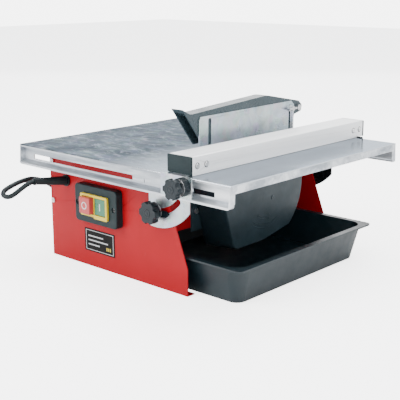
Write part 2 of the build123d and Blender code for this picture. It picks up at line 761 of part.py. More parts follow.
with BuildPart() as lower_guard_inner:
    with BuildSketch(across(GUARD_PLATE)):
        with Locations((BLADE_Y, BLADE_Z)):
            Circle(GUARD_WIDE)
        with Locations((-61, 98)):
            Rectangle(36, 72)
        with Locations((BLADE_Y, BLADE_Z)):
            Circle(SHAFT_HOLE, mode=Mode.SUBTRACT)
            with PolarLocations(MOTOR_BOLT_CIRCLE, 4, start_angle=45):
                Circle(4.6, mode=Mode.SUBTRACT)
        with Locations((0, 200)):
            Rectangle(400, 100, mode=Mode.SUBTRACT)
        with Locations((0, -50 + GUARD_BOTTOM)):
            Rectangle(400, 100, mode=Mode.SUBTRACT)
        with Locations((178, 100)):
            Rectangle(100, 200, mode=Mode.SUBTRACT)
        with Locations(GUARD_SCREWS):
            Circle(M4, mode=Mode.SUBTRACT)
    extrude(amount=2)
save(lower_guard_inner, "lower_guard_inner")


def guard_section(x, front, radius, inset=0.0):
    """The outer guard's outline at x: a straight front edge, a flat toe and a round back."""
    heel, middle, top = [
        (BLADE_Y + radius * math.cos(math.radians(turn)), BLADE_Z + radius * math.sin(math.radians(turn)))
        for turn in (-50, 6, 62)
    ]
    with BuildSketch(across(x)) as section:
        with BuildLine():
            Polyline(top, *front, heel)
            ThreePointArc(heel, middle, top)
        make_face()
        if inset:
            offset(amount=-inset, kind=Kind.INTERSECTION)
    return section.sketch


MOUTH_FRONT = ((-98, 200), (-50.5, 41), (-44, 33), (50, 16))
FACE_FRONT = ((-94, 200), (-43, 41), (-36, 36.3), (22, 37.3))

with BuildPart() as lower_guard_outer:
    loft([
        guard_section(GUARD_MOUTH, MOUTH_FRONT, GUARD_WIDE),
        guard_section(GUARD_FACE, FACE_FRONT, GUARD_NARROW),
    ])
    fillet(lower_guard_outer.edges().group_by(Axis.X)[-1], radius=2)
    loft([
        guard_section(GUARD_MOUTH, MOUTH_FRONT, GUARD_WIDE, GUARD_WALL),
        guard_section(GUARD_FACE - GUARD_WALL, FACE_FRONT, GUARD_NARROW, GUARD_WALL),
    ], mode=Mode.SUBTRACT)
    with BuildSketch(facing(-120)):
        with BuildLine():
            Polyline(
                (40, 161), (54, 161), (GUARD_FACE + 5, 115), (GUARD_FACE + 5, 230),
                (40, 230), close=True,
            )
        make_face()
        with Locations((70, GUARD_BOTTOM - 50)):
            Rectangle(100, 100)
    extrude(amount=-300, mode=Mode.SUBTRACT)
    with BuildSketch(facing(95)):
        with Locations((51, 150)):
            Rectangle(9, 116)
    extrude(amount=-60, mode=Mode.SUBTRACT)
save(lower_guard_outer, "lower_guard_outer")

with BuildPart() as lower_guard_screws:
    for place in GUARD_SCREWS:
        with BuildSketch(across(GUARD_PLATE + 2)):
            with Locations(place):
                Circle(4)
        extrude(amount=2.4)
        with BuildSketch(across(GUARD_PLATE + 2)):
            with Locations(place):
                Circle(2)
        extrude(amount=-6)
save(lower_guard_screws, "lower_guard_screws")

# ---------------------------------------------------------------- riving knife
HINGE_Y = 144
HINGE_Z = 217
KNIFE = 2
KNIFE_CLEAR = BLADE_RADIUS + 4
HEAD = 6.5


def round_blade(angle):
    """The point (y, z) on the knife's inner edge at an angle above level."""
    turn = math.radians(angle)
    return (BLADE_Y + KNIFE_CLEAR * math.cos(turn), BLADE_Z + KNIFE_CLEAR * math.sin(turn))


with BuildPart() as riving_knife:
    with BuildSketch(across(BLADE_X - KNIFE / 2)):
        with BuildLine():
            ThreePointArc(round_blade(-12), round_blade(18), round_blade(48))
            Line(round_blade(48), (HINGE_Y - 3, HINGE_Z + HEAD - 1))
            Line((HINGE_Y - 3, HINGE_Z + HEAD - 1), (HINGE_Y + 5, HINGE_Z - 3))
            Line((HINGE_Y + 5, HINGE_Z - 3), (142, 182))
            Line((142, 182), (149, 95.5))
            Line((149, 95.5), round_blade(-12))
        make_face()
        with Locations((HINGE_Y, HINGE_Z)):
            Circle(HEAD)
            Circle(2.5, mode=Mode.SUBTRACT)
        with Locations(*KNIFE_BOLTS):
            Circle(M5, mode=Mode.SUBTRACT)
    extrude(amount=KNIFE)
save(riving_knife, "riving_knife")

KNIFE_LEFT = BLADE_X - KNIFE / 2
with BuildPart() as knife_bracket:
    with BuildSketch(across(GUARD_PLATE)):
        with Locations((138, 122)):
            RectangleRounded(17, 42, 3)
        with Locations(*KNIFE_BOLTS):
            Circle(M5, mode=Mode.SUBTRACT)
    extrude(amount=KNIFE_LEFT - GUARD_PLATE)
save(knife_bracket, "knife_bracket")

with BuildPart() as knife_bolts:
    for z in (110, 134):
        with BuildSketch(across(BLADE_X + KNIFE / 2)):
            with Locations((138, z)):
                RegularPolygon(4.6, 6)
        extrude(amount=3.5)
        with BuildSketch(across(BLADE_X + KNIFE / 2)):
            with Locations((138, z)):
                Circle(2.5)
        extrude(amount=-(BLADE_X + KNIFE / 2 - WALL_LEFT_FACE + 6))
save(knife_bolts, "knife_bolts")

# ---------------------------------------------------------------- upper guard
COVER_HALF = 10.5
COVER_WALL = 2.2
COVER_BOTTOM = TABLE_TOP + 15
LIP = (-113, 240)
DIP = (-98, 232)
PEAK = (68, 242.5)
TAIL = (147, 227)
CORNER = (155.5, 220)

with BuildPart() as guard_cover:
    with BuildSketch(across(BLADE_X - COVER_HALF)):
        with BuildLine():
            Polyline(
                LIP, DIP, PEAK, TAIL, CORNER, (154, 211), (136, 207), (131, COVER_BOTTOM),
                (-71.5, COVER_BOTTOM), close=True,
            )
        make_face()
    extrude(amount=2 * COVER_HALF)
    long_edges = guard_cover.edges().filter_by(Axis.X)
    fillet(long_edges.sort_by_distance((BLADE_X, *DIP))[0], radius=16)
    long_edges = guard_cover.edges().filter_by(Axis.X)
    fillet(long_edges.sort_by_distance((BLADE_X, *PEAK))[0], radius=60)
    for spot in (CORNER, (154, 211), (131, COVER_BOTTOM)):
        long_edges = guard_cover.edges().filter_by(Axis.X)
        fillet(long_edges.sort_by_distance((BLADE_X, *spot))[0], radius=4)
    with BuildSketch(across(BLADE_X - COVER_HALF + COVER_WALL)):
        with BuildLine():
            Polyline(
                (-125, 242), (-97, 229.2), (68, 240.2), (145.5, 225), (153.2, 219), (153.2, 216.9),
                (170, 216.9), (170, 180), (-125, 180), close=True,
            )
        make_face()
    extrude(amount=2 * (COVER_HALF - COVER_WALL), mode=Mode.SUBTRACT)
    with BuildSketch(across(BLADE_X - COVER_HALF - 1)):
        with Locations((HINGE_Y, HINGE_Z)):
            Circle(M5)
    extrude(amount=2 * COVER_HALF + 2, mode=Mode.SUBTRACT)
    with BuildSketch(across(BLADE_X)):
        with Locations((122, 218)):
            Circle(2.1)
    extrude(amount=COVER_HALF + 2, mode=Mode.SUBTRACT)
save(guard_cover, "guard_cover")

PLATE_X = BLADE_X + COVER_HALF + 0.2
SIDE_PLATE = 1.5

with BuildPart() as guard_side_plate:
    with BuildSketch(across(PLATE_X)):
        with BuildLine():
            Polyline((-79, 227), (126, 229), (131, 224), (131, 176), (-82, 176), (-82, 222), close=True)
        make_face()
        for y, width in ((-60.5, 6.2), (122, 4.4)):
            with Locations((y, 204)):
                SlotOverall(39, width, rotation=90, mode=Mode.SUBTRACT)
    extrude(amount=SIDE_PLATE)
    with BuildSketch(across(PLATE_X + SIDE_PLATE)):
        with Locations((129, 200)):
            Rectangle(4, 48)
    extrude(amount=1.4)
save(guard_side_plate, "guard_side_plate")

with BuildPart() as guard_pivot_bolt:
    with BuildSketch(across(BLADE_X - COVER_HALF - 2)):
        with Locations((HINGE_Y, HINGE_Z)):
            Circle(2.5)
    extrude(amount=2 * COVER_HALF + 4)
    for x, direction in ((BLADE_X - COVER_HALF - 0.3, -1), (BLADE_X + COVER_HALF + 0.3, 1)):
        with BuildSketch(across(x)):
            with Locations((HINGE_Y, HINGE_Z)):
                RegularPolygon(5, 6)
        extrude(amount=direction * 4)
save(guard_pivot_bolt, "guard_pivot_bolt")

SCREW_SEAT = PLATE_X + SIDE_PLATE
with BuildPart() as guard_clamp_screw:
    with BuildSketch(across(SCREW_SEAT)):
        with Locations((122, 218)):
            Circle(4.8)
    extrude(amount=2.5)
    with BuildSketch(across(SCREW_SEAT + 2.5)):
        with Locations((122, 218)):
            Circle(3.6)
            SlotOverall(19, 3)
    extrude(amount=5)
    with BuildSketch(across(SCREW_SEAT)):
        with Locations((122, 218)):
            Circle(2)
    extrude(amount=-(SCREW_SEAT - BLADE_X - 5))
save(guard_clamp_screw, "guard_clamp_screw")

with BuildPart() as guard_clamp_nut:
    with BuildSketch(across(BLADE_X + COVER_HALF - COVER_WALL)):
        with Locations((122, 218)):
            RegularPolygon(4, 6)
            Circle(2, mode=Mode.SUBTRACT)
    extrude(amount=-3)
save(guard_clamp_nut, "guard_clamp_nut")

# ---------------------------------------------------------------- switch
SWITCH_FACE = BASE_FRONT - SWITCH_DEPTH
BUTTON_WIDTH = 22
BUTTON_HEIGHT = 24
OFF_X = SWITCH_X - 13
ON_X = SWITCH_X + 12.5

with BuildPart() as switch_box:
    with BuildSketch(facing(BASE_FRONT)):
        with Locations((SWITCH_X, SWITCH_Z)):
            RectangleRounded(SWITCH_WIDTH, SWITCH_HEIGHT, 6)
    extrude(amount=SWITCH_DEPTH)
    front_edges = switch_box.edges().group_by(Axis.Y)[0]
    fillet(front_edges, radius=1.6)
    with BuildSketch(facing(SWITCH_FACE)):
        with Locations((SWITCH_X, SWITCH_Z)):
            Rectangle(50, 26)
    extrude(amount=-SWITCH_DEPTH, mode=Mode.SUBTRACT)
    with BuildSketch(facing(SWITCH_FACE)):
        with Locations((SWITCH_X - 38, SWITCH_Z), (SWITCH_X + 38, SWITCH_Z)):
            Circle(3.8)
    extrude(amount=-4, mode=Mode.SUBTRACT)
    with BuildSketch(facing(SWITCH_FACE)):
        with Locations((SWITCH_X - 38, SWITCH_Z), (SWITCH_X + 38, SWITCH_Z)):
            Circle(M4)
    extrude(amount=-SWITCH_DEPTH, mode=Mode.SUBTRACT)
save(switch_box, "switch_box")

with BuildPart() as switch_frame:
    with BuildSketch(facing(SWITCH_FACE)):
        with Locations((SWITCH_X, SWITCH_Z)):
            RectangleRounded(56, 32, 2)
        with Locations((SWITCH_X + 14, SWITCH_Z - 4)):
            RectangleRounded(28, 28, 2)
        with Locations((SWITCH_X, SWITCH_Z)):
            Rectangle(49, 25, mode=Mode.SUBTRACT)
    extrude(amount=3.5)
    with BuildSketch(facing(SWITCH_FACE)):
        with Locations((SWITCH_X - 0.5, SWITCH_Z)):
            Rectangle(2, 25)
    extrude(amount=2)
save(switch_frame, "switch_frame")

with BuildPart() as switch_screws:
    for x in (SWITCH_X - 38, SWITCH_X + 38):
        with BuildSketch(facing(SWITCH_FACE + 4)):
            with Locations((x, SWITCH_Z)):
                Circle(3.5)
                Rectangle(4, 0.9, mode=Mode.SUBTRACT)
        extrude(amount=2.4)
        with BuildSketch(facing(SWITCH_FACE + 4)):
            with Locations((x, SWITCH_Z)):
                Circle(2)
        extrude(amount=-14)
save(switch_screws, "switch_screws")


def button(x, face, corner):
    """A rocker-shaped push button that slides along Y in the frame."""
    with BuildPart() as key:
        with BuildSketch(facing(SWITCH_FACE + 9)):
            with Locations((x, SWITCH_Z)):
                RectangleRounded(BUTTON_WIDTH, BUTTON_HEIGHT, corner)
        extrude(amount=9 + face)
        fillet(key.edges().group_by(Axis.Y)[0], radius=1)
    return key


red_button = button(OFF_X, 9.5, 1.5)
save(red_button, "red_button")
green_button = button(ON_X, 2.6, 1.2)
save(green_button, "green_button")

with BuildPart() as switch_contact_block:
    with BuildSketch(facing(SWITCH_FACE + SWITCH_DEPTH + 4)):
        with Locations((SWITCH_X, SWITCH_Z)):
            Rectangle(49, 25)
    extrude(amount=-26)
    with BuildSketch(facing(INSIDE_FRONT + 28)):
        for x in (-16, -6, 6, 16):
            with Locations((SWITCH_X + x, SWITCH_Z - 4), (SWITCH_X + x, SWITCH_Z + 6)):
                Rectangle(5, 0.8)
    extrude(amount=-8)
save(switch_contact_block, "switch_contact_block")

with BuildPart() as capacitor:
    with BuildSketch(across(-120)):
        with Locations((-104, 78)):
            Circle(17)
    extrude(amount=62)
    with BuildSketch(across(-58)):
        with Locations((-110, 78), (-98, 78)):
            Rectangle(5, 0.9)
    extrude(amount=8)
save(capacitor, "capacitor")

# ---------------------------------------------------------------- mains lead
BOOT_DIRECTION = Vector(-0.23, -0.967, 0.1).normalized()
BOOT_START = Vector(GLAND_X, BASE_FRONT - 2.5, GLAND_Z)
BOOT_LENGTH = 50
BOOT_END = BOOT_START + BOOT_DIRECTION * BOOT_LENGTH

with BuildPart() as strain_relief:
    with BuildSketch(facing(BASE_FRONT)):
        with Locations((GLAND_X, GLAND_Z)):
            Circle(8.5)
    extrude(amount=3)
    with BuildSketch(facing(BASE_FRONT)):
        with Locations((GLAND_X, GLAND_Z)):
            Circle(GLAND_RADIUS)
    extrude(amount=-BASE_SHEET)
    with BuildSketch(facing(INSIDE_FRONT)):
        with Locations((GLAND_X, GLAND_Z)):
            Circle(8)
    extrude(amount=-3)
    with BuildSketch(Plane(origin=BOOT_START, z_dir=BOOT_DIRECTION)):
        Circle(6.8)
    extrude(amount=BOOT_LENGTH, taper=2.3)
    with BuildSketch(Plane(origin=BOOT_START + BOOT_DIRECTION * (BOOT_LENGTH - 3), z_dir=BOOT_DIRECTION)):
        Circle(5.6)
    extrude(amount=3)
save(strain_relief, "strain_relief")

# The lead's route: out of the boot, back past the base's left side, down to the floor and
# round behind the machine to the coil.
LEAD_ROUTE = [
    tuple(BOOT_END),
    (-148.6, -210.5, 124.5), (-149.2, -217.3, 121.6), (-149.9, -224.1, 118), (-150.8, -230.5, 114.3),
    (-152, -237.7, 110.4), (-155, -242, 108.9), (-159.8, -244.4, 109), (-165, -244.2, 110.7),
    (-168.6, -241.3, 113.3), (-169.7, -236.7, 116.1), (-170.4, -226.6, 119.3), (-171.8, -216.4, 121.4),
    (-173, -205.7, 122.9), (-174.5, -194.6, 123.5), (-176.3, -184.5, 123), (-181.5, -164, 117),
    (-186.5, -143, 105.5), (-189.5, -121, 88), (-191, -100, 66), (-191, -80, 43),
    (-190.5, -59, 22), (-189.5, -35, 8), (-189, -9, 3.5), (-190, 24, 3.5), (-188.5, 62, 3.5),
    (-190.5, 102, 3.5), (-193, 140, 3.5), (-191, 170, 3.5), (-174, 194, 3.5), (-147, 203, 3.5),
    (-118, 195, 3.5), (-92, 181, 3.5), (-70, 177.5, 3.5),
]
COIL_CENTRE = (-70, 222)
COIL_RADII = (44.5, 37.5, 30.5)
COIL_LAYERS = 2
PLUG_ENTRY = Vector(8, 190.5, 6.9)
PLUG_HEADING = math.radians(12)
PLUG_PITCH = math.radians(17.5)
PLUG_AXIS = Vector(
    math.cos(PLUG_PITCH) * math.cos(PLUG_HEADING),
    math.cos(PLUG_PITCH) * math.sin(PLUG_HEADING),
    math.sin(PLUG_PITCH),
)
TAIL_ROUTE = [
    (-70, 177.5, 10.5), (-53, 177.6, 10.4), (-34, 179, 7.2), (-15, 183.2, 3.9),
    tuple(PLUG_ENTRY - PLUG_AXIS * 11), tuple(PLUG_ENTRY),
]


def bend_radii(route):
    """The largest arc that each corner's two runs allow."""
    radii = []
    for before, corner, after in zip(route, route[1:], route[2:]):
        arriving = Vector(*corner) - Vector(*before)
        leaving = Vector(*after) - Vector(*corner)
        half_turn = math.radians(arriving.get_angle(leaving)) / 2
        radii.append(0.45 * min(arriving.length, leaving.length) / math.tan(half_turn))
    return radii


def cord(route, radius, name):
    """A round cord along straight runs joined by tangent arcs."""
    radii = bend_radii(route)
    print(name, "radii", [round(value, 1) for value in radii])
    with BuildPart() as tube:
        with BuildLine() as path:
            FilletPolyline(*route, radius=radii)
        first = Vector(*route[1]) - Vector(*route[0])
        with BuildSketch(Plane(origin=route[0], z_dir=first)):
            Circle(radius)
        sweep()
    length = sum(edge.length for edge in path.edges())
    fill = tube.part.volume / (length * math.pi * radius**2)
    print(name, "length", round(length, 1), "volume over section times length", round(fill, 4))
    return tube


power_cord = cord(LEAD_ROUTE, CORD_RADIUS, "power_cord")
save(power_cord, "power_cord")
cord_tail = cord(TAIL_ROUTE, CORD_RADIUS, "cord_tail")
save(cord_tail, "cord_tail")

with BuildPart() as cord_coil:
    with BuildSketch(Plane.XY):
        with Locations(COIL_CENTRE):
            Circle(COIL_RADII[0] + CORD_RADIUS)
            Circle(COIL_RADII[-1] - CORD_RADIUS, mode=Mode.SUBTRACT)
    extrude(amount=COIL_LAYERS * 2 * CORD_RADIUS)
save(cord_coil, "cord_coil")

PLUG_FACE = 58
with BuildPart() as plug_body:
    with BuildSketch(Plane(origin=PLUG_ENTRY, x_dir=PLUG_AXIS, z_dir=PLUG_AXIS.cross(Vector(0, 0, 1)))):
        with BuildLine():
            Polyline(
                (0, 0), (0, 5.6), (14, 6.6), (17, 9.5), (31, 11.5), (38, 18.5), (PLUG_FACE, 18.5),
                (PLUG_FACE, 0), close=True,
            )
        make_face()
    revolve(axis=Axis(PLUG_ENTRY, PLUG_AXIS))
save(plug_body, "plug_body")

with BuildPart() as plug_pins:
    with BuildSketch(Plane(origin=PLUG_ENTRY + PLUG_AXIS * PLUG_FACE, x_dir=Vector(0, 0, 1).cross(PLUG_AXIS),
                           z_dir=PLUG_AXIS)):
        with Locations((-9.5, 0), (9.5, 0)):
            Circle(2.4)
    extrude(amount=19)
save(plug_pins, "plug_pins")
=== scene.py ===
"""Tile cutter: looks, lead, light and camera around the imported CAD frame. Metres, same frame as the CAD."""
import math

import bmesh
import bpy
from mathutils import Matrix, Vector


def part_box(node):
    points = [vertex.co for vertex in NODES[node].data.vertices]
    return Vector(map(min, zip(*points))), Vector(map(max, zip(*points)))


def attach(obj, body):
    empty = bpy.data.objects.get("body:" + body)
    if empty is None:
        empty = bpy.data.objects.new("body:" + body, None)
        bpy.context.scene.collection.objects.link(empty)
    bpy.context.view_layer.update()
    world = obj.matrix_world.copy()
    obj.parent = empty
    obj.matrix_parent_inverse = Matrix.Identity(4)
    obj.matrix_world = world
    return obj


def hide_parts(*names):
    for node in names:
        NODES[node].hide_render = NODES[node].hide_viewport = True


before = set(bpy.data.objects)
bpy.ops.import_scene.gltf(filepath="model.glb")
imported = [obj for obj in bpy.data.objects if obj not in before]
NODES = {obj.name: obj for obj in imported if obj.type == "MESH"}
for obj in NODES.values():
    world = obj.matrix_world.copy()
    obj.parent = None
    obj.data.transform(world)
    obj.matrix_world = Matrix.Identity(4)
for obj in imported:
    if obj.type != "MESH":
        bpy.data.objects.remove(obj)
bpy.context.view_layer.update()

MM = 0.001


# ------------------------------------------------------------------ camera
CAMERA_AT = (0.8429, -0.9359, 0.4046)
CAMERA_LOOKS_AT = (0.0197, -0.0317, 0.0950)
CAMERA_LENS = 77.69
SENSOR_WIDTH = 36

camera_data = bpy.data.cameras.new("camera")
camera_data.lens = CAMERA_LENS
camera_data.sensor_width = SENSOR_WIDTH
camera = bpy.data.objects.new("camera", camera_data)
bpy.context.collection.objects.link(camera)
camera.location = CAMERA_AT
aim = Vector(CAMERA_LOOKS_AT) - Vector(CAMERA_AT)
camera.rotation_euler = aim.to_track_quat("-Z", "Y").to_euler()
bpy.context.scene.camera = camera


# ------------------------------------------------------------------ materials
class Maker:
    """Builds one material's node tree."""

    def __init__(self, name):
        self.material = bpy.data.materials.new(name)
        self.material.use_nodes = True
        self.tree = self.material.node_tree
        self.shader = self.tree.nodes["Principled BSDF"]
        self.place = self.node("ShaderNodeTexCoord").outputs["Object"]

    def node(self, kind, **values):
        """A new node with the given properties."""
        made = self.tree.nodes.new(kind)
        for key, value in values.items():
            setattr(made, key, value)
        return made

    def link(self, source, target):
        """A link between two sockets."""
        self.tree.links.new(source, target)

    def feed(self, value, socket):
        """A number set on a socket, or another socket linked to it."""
        if isinstance(value, (int, float)):
            socket.default_value = value
        else:
            self.link(value, socket)

    def stretched(self, scale=(1, 1, 1)):
        """Object coordinates scaled along each axis: a small scale draws a pattern out."""
        mapping = self.node("ShaderNodeMapping")
        mapping.inputs["Scale"].default_value = scale
        self.link(self.place, mapping.inputs["Vector"])
        return mapping.outputs["Vector"]

    def noise(self, scale, detail=4.0, rough=0.55, twist=0.0, stretch=(1, 1, 1)):
        """Cloudy noise, with scale in features per metre."""
        made = self.node("ShaderNodeTexNoise")
        made.inputs["Scale"].default_value = scale
        made.inputs["Detail"].default_value = detail
        made.inputs["Roughness"].default_value = rough
        made.inputs["Distortion"].default_value = twist
        self.link(self.stretched(stretch), made.inputs["Vector"])
        return made.outputs["Fac"]

    def cells(self, scale, output="Color"):
        """Voronoi cells, by their colour or their distance."""
        made = self.node("ShaderNodeTexVoronoi", feature="F1")
        made.inputs["Scale"].default_value = scale
        self.link(self.stretched(), made.inputs["Vector"])
        return made.outputs[output]

    def ramp(self, source, stops):
        """A colour ramp with stops of (position, colour)."""
        made = self.node("ShaderNodeValToRGB")
        elements = made.color_ramp.elements
        while len(elements) < len(stops):
            elements.new(0.5)
        for element, (position, color) in zip(elements, stops):
            element.position = position
            element.color = (*color, 1)
        self.link(source, made.inputs["Fac"])
        return made.outputs["Color"]

    def span(self, source, low, high, start=0.3, end=0.7):
        """The source's stretch from start to end, spread from low to high."""
        made = self.node("ShaderNodeMapRange")
        made.inputs["From Min"].default_value = start
        made.inputs["From Max"].default_value = end
        made.inputs["To Min"].default_value = low
        made.inputs["To Max"].default_value = high
        self.link(source, made.inputs["Value"])
        return made.outputs["Result"]

    def mix(self, amount, first, second, blend="MIX"):
        """Two colours, each a tuple or a socket, mixed by amount."""
        made = self.node("ShaderNodeMix", data_type="RGBA", blend_type=blend)
        self.feed(amount, made.inputs[0])
        for socket, value in ((made.inputs[6], first), (made.inputs[7], second)):
            if isinstance(value, tuple):
                socket.default_value = (*value, 1)
            else:
                self.link(value, socket)
        return made.outputs[2]

    def calc(self, first, second, operation):
        """One operation on two values, each a number or a socket."""
        made = self.node("ShaderNodeMath", operation=operation)
        for socket, value in zip(made.inputs, (first, second)):
            self.feed(value, socket)
        return made.outputs[0]

    def blended(self, first, share, second):
        """Two values added in shares: the second takes what the first leaves."""
        kept, rest = self.calc(first, share, "MULTIPLY"), self.calc(second, 1 - share, "MULTIPLY")
        return self.calc(kept, rest, "ADD")

    def bump(self, source, strength, distance, after=None):
        """A bump of the given depth in metres, on top of another bump if there is one."""
        made = self.node("ShaderNodeBump")
        made.inputs["Strength"].default_value = strength
        made.inputs["Distance"].default_value = distance
        self.link(source, made.inputs["Height"])
        if after is not None:
            self.link(after, made.inputs["Normal"])
        return made.outputs["Normal"]

    def finish(self, color, rough, normal=None, metal=None):
        """Fills the shader's sockets and returns the finished material."""
        shader = self.shader.inputs
        self.link(color, shader["Base Color"])
        self.feed(rough, shader["Roughness"])
        if metal is not None:
            self.feed(metal, shader["Metallic"])
        if normal is not None:
            self.link(normal, shader["Normal"])
        return self.material


FLECK = (0.40, 0.44, 0.48)
DRIED_SLURRY = (0.30, 0.31, 0.32)
SCUFFED_PAINT = (0.55, 0.16, 0.14)
TARNISH = (0.30, 0.28, 0.24)
DUST = (0.24, 0.25, 0.26)
# Heights between which the table's face gives way to its folded sides; below them the sheet carries a painted
# reflection.
UNDER_TOP = (0.1690, 0.1704)
# Painted reflection: the folded sides' colours, lighter than the top, stand in for the bright surroundings
# that the upright faces mirror.
SIDE_REFLECTION_DARK, SIDE_REFLECTION_LIGHT = (0.34, 0.37, 0.41), (0.92, 0.94, 0.96)
MIRROR_TINT = (0.42, 0.46, 0.50, 1)
PAINT_SHINE = 0.14


def galvanised(name, dark, light, rough, streaks=(1, 1, 1), dirt=0.35, flecking=0.55, polished=None,
               painted_shade=None):
    """Zinc-coated sheet: cloudy swirls, flecks, faint spangle, fine rolling lines and a little dried slurry.

    Polished is (start, end, colour, gloss): from start to end across the sheet it grows bright and smooth.
    The sheet's folded sides, below UNDER_TOP, are painted lighter than the top, in long streaks: a painted
    reflection of the bright surroundings that the upright faces catch.
    The last argument is (start, end, colour): painted shade that darkens the sheet from start to end towards
    the back, standing in for shade and dark reflections there.
    """
    m = Maker(name)
    clouds = m.noise(11, detail=8, rough=0.62, twist=2.2, stretch=streaks)
    swirls = m.noise(30, detail=6, rough=0.6, twist=1.4, stretch=streaks)
    grain = m.noise(420, detail=2, rough=0.5, stretch=(1, 0.06, 1))
    spangle = m.cells(95)
    tone = m.blended(clouds, 0.6, swirls)
    middle = tuple((a + b) / 2 for a, b in zip(dark, light))
    base = m.ramp(tone, ((0.40, dark), (0.5, middle), (0.60, light)))
    flecks = m.noise(64, detail=8, rough=0.78, twist=1.2, stretch=streaks)
    base = m.mix(m.span(flecks, 0, flecking, start=0.50, end=0.66), base, FLECK)
    smears = m.noise(13, detail=9, rough=0.78, twist=2.0, stretch=(0.4, 1, 1))
    base = m.mix(m.span(smears, 0, flecking, start=0.56, end=0.64), base, FLECK)
    base = m.mix(0.08, base, spangle, "OVERLAY")
    stain = m.span(m.noise(7, detail=9, rough=0.7, twist=1.2), 0, dirt, start=0.52, end=0.72)
    base = m.mix(stain, base, DRIED_SLURRY)
    roughness = m.span(m.blended(swirls, 0.6, grain), rough - 0.09, rough + 0.12)
    normal = m.bump(grain, strength=0.10, distance=0.2 * MM)
    normal = m.bump(clouds, strength=0.05, distance=1.0 * MM, after=normal)
    across = m.node("ShaderNodeSeparateXYZ")
    m.link(m.place, across.inputs[0])
    if polished:
        start, end, bright, gloss = polished
        sideways = m.span(across.outputs["X"], 0, 0.85, start, end)
        # Painted reflection: below UNDER_TOP the sides turn lighter, in long streaks, in place of the bright
        # surroundings that they mirror.
        folded = m.span(across.outputs["Z"], 0.85, 0, *UNDER_TOP)
        reflection_streaks = m.noise(26, detail=5, rough=0.6, twist=0.6, stretch=(0.12, 1, 1))
        base = m.mix(folded, base, m.ramp(reflection_streaks, ((0.40, SIDE_REFLECTION_DARK), (0.60, SIDE_REFLECTION_LIGHT))))
        unfolded = m.calc(1.0, folded, "SUBTRACT")
        base = m.mix(m.calc(sideways, unfolded, "MULTIPLY"), base, bright)
        smoother = m.span(swirls, gloss - 0.03, gloss + 0.05)
        share = m.calc(m.calc(sideways, folded, "SUBTRACT"), 0.0, "MAXIMUM")
        rest = m.calc(1.0, share, "SUBTRACT")
        roughness = m.calc(m.calc(roughness, rest, "MULTIPLY"), m.calc(smoother, share, "MULTIPLY"), "ADD")
        m.shader.inputs["Specular Tint"].default_value = MIRROR_TINT
    # Painted shade: the sheet darkens towards the back in place of shade and dark reflections.
    if painted_shade:
        start, end, shade = painted_shade
        base = m.mix(m.span(across.outputs["Y"], 0, 1, start, end), base, shade)
    return m.finish(base, roughness, normal, metal=m.span(stain, 0.92, 0.6, start=0, end=0.5))


def powder_coat(name, deep, bright):
    """Baked powder paint: orange peel, small tone drift, scuffs."""
    m = Maker(name)
    drift = m.noise(9, detail=5, rough=0.6, twist=0.8)
    base = m.ramp(drift, ((0.35, deep), (0.65, bright)))
    scuffs = m.noise(60, detail=8, rough=0.75, twist=0.5, stretch=(1, 1, 0.35))
    base = m.mix(m.span(scuffs, 0, 0.16, start=0.62, end=0.75), base, SCUFFED_PAINT)
    peel = m.noise(640, detail=2, rough=0.5, twist=0.2)
    roughness = m.span(m.noise(45, detail=5, rough=0.6), 0.30, 0.44)
    normal = m.bump(peel, strength=0.16, distance=0.25 * MM)
    m.shader.inputs["Specular IOR Level"].default_value = PAINT_SHINE
    return m.finish(base, roughness, normal)


def moulded(name, deep, bright, rough=0.42, grain=1500, strength=0.22, dust=0.06, shine=0.5, waves=0.06):
    """Moulded plastic: spark-eroded grain, slight flow marks and settled dust."""
    m = Maker(name)
    flow = m.noise(16, detail=5, rough=0.6, twist=1.4)
    base = m.ramp(flow, ((0.32, deep), (0.68, bright)))
    settled = m.noise(38, detail=8, rough=0.7, twist=0.6)
    base = m.mix(m.span(settled, 0, dust, start=0.5, end=0.72), base, DUST)
    pits = m.noise(grain, detail=2, rough=0.6)
    roughness = m.span(m.noise(55, detail=6, rough=0.6), rough - 0.07, rough + 0.09)
    normal = m.bump(pits, strength=strength, distance=0.12 * MM)
    normal = m.bump(flow, strength=waves, distance=1.2 * MM, after=normal)
    m.shader.inputs["Specular IOR Level"].default_value = shine
    return m.finish(base, roughness, normal)


def brushed(name, dark, light, rough, stretch, metal=1.0, scale=260):
    """Brushed or drawn metal with lines along the direction that stretch leaves long."""
    m = Maker(name)
    lines = m.noise(scale, detail=4, rough=0.6, stretch=stretch)
    clouds = m.noise(14, detail=5, rough=0.6, twist=0.8)
    base = m.ramp(m.blended(lines, 0.7, clouds), ((0.35, dark), (0.65, light)))
    roughness = m.span(lines, rough - 0.06, rough + 0.10)
    normal = m.bump(lines, strength=0.10, distance=0.12 * MM)
    return m.finish(base, roughness, normal, metal=metal)


def turned(name, dark, light, rough=0.28):
    """Lathe-turned steel: rings about the blade's axis."""
    m = Maker(name)
    rings = m.node("ShaderNodeTexWave", wave_type="RINGS", rings_direction="X")
    rings.inputs["Scale"].default_value = 300
    rings.inputs["Distortion"].default_value = 2.5
    rings.inputs["Detail"].default_value = 3
    m.link(m.place, rings.inputs["Vector"])
    marks = rings.outputs["Fac"]
    clouds = m.noise(40, detail=6, rough=0.6, twist=0.6)
    base = m.ramp(clouds, ((0.35, dark), (0.65, light)))
    worn = m.calc(marks, clouds, "MULTIPLY")
    roughness = m.span(worn, rough - 0.06, rough + 0.14, start=0.1, end=0.6)
    return m.finish(base, roughness, m.bump(marks, strength=0.05, distance=0.08 * MM), metal=1.0)


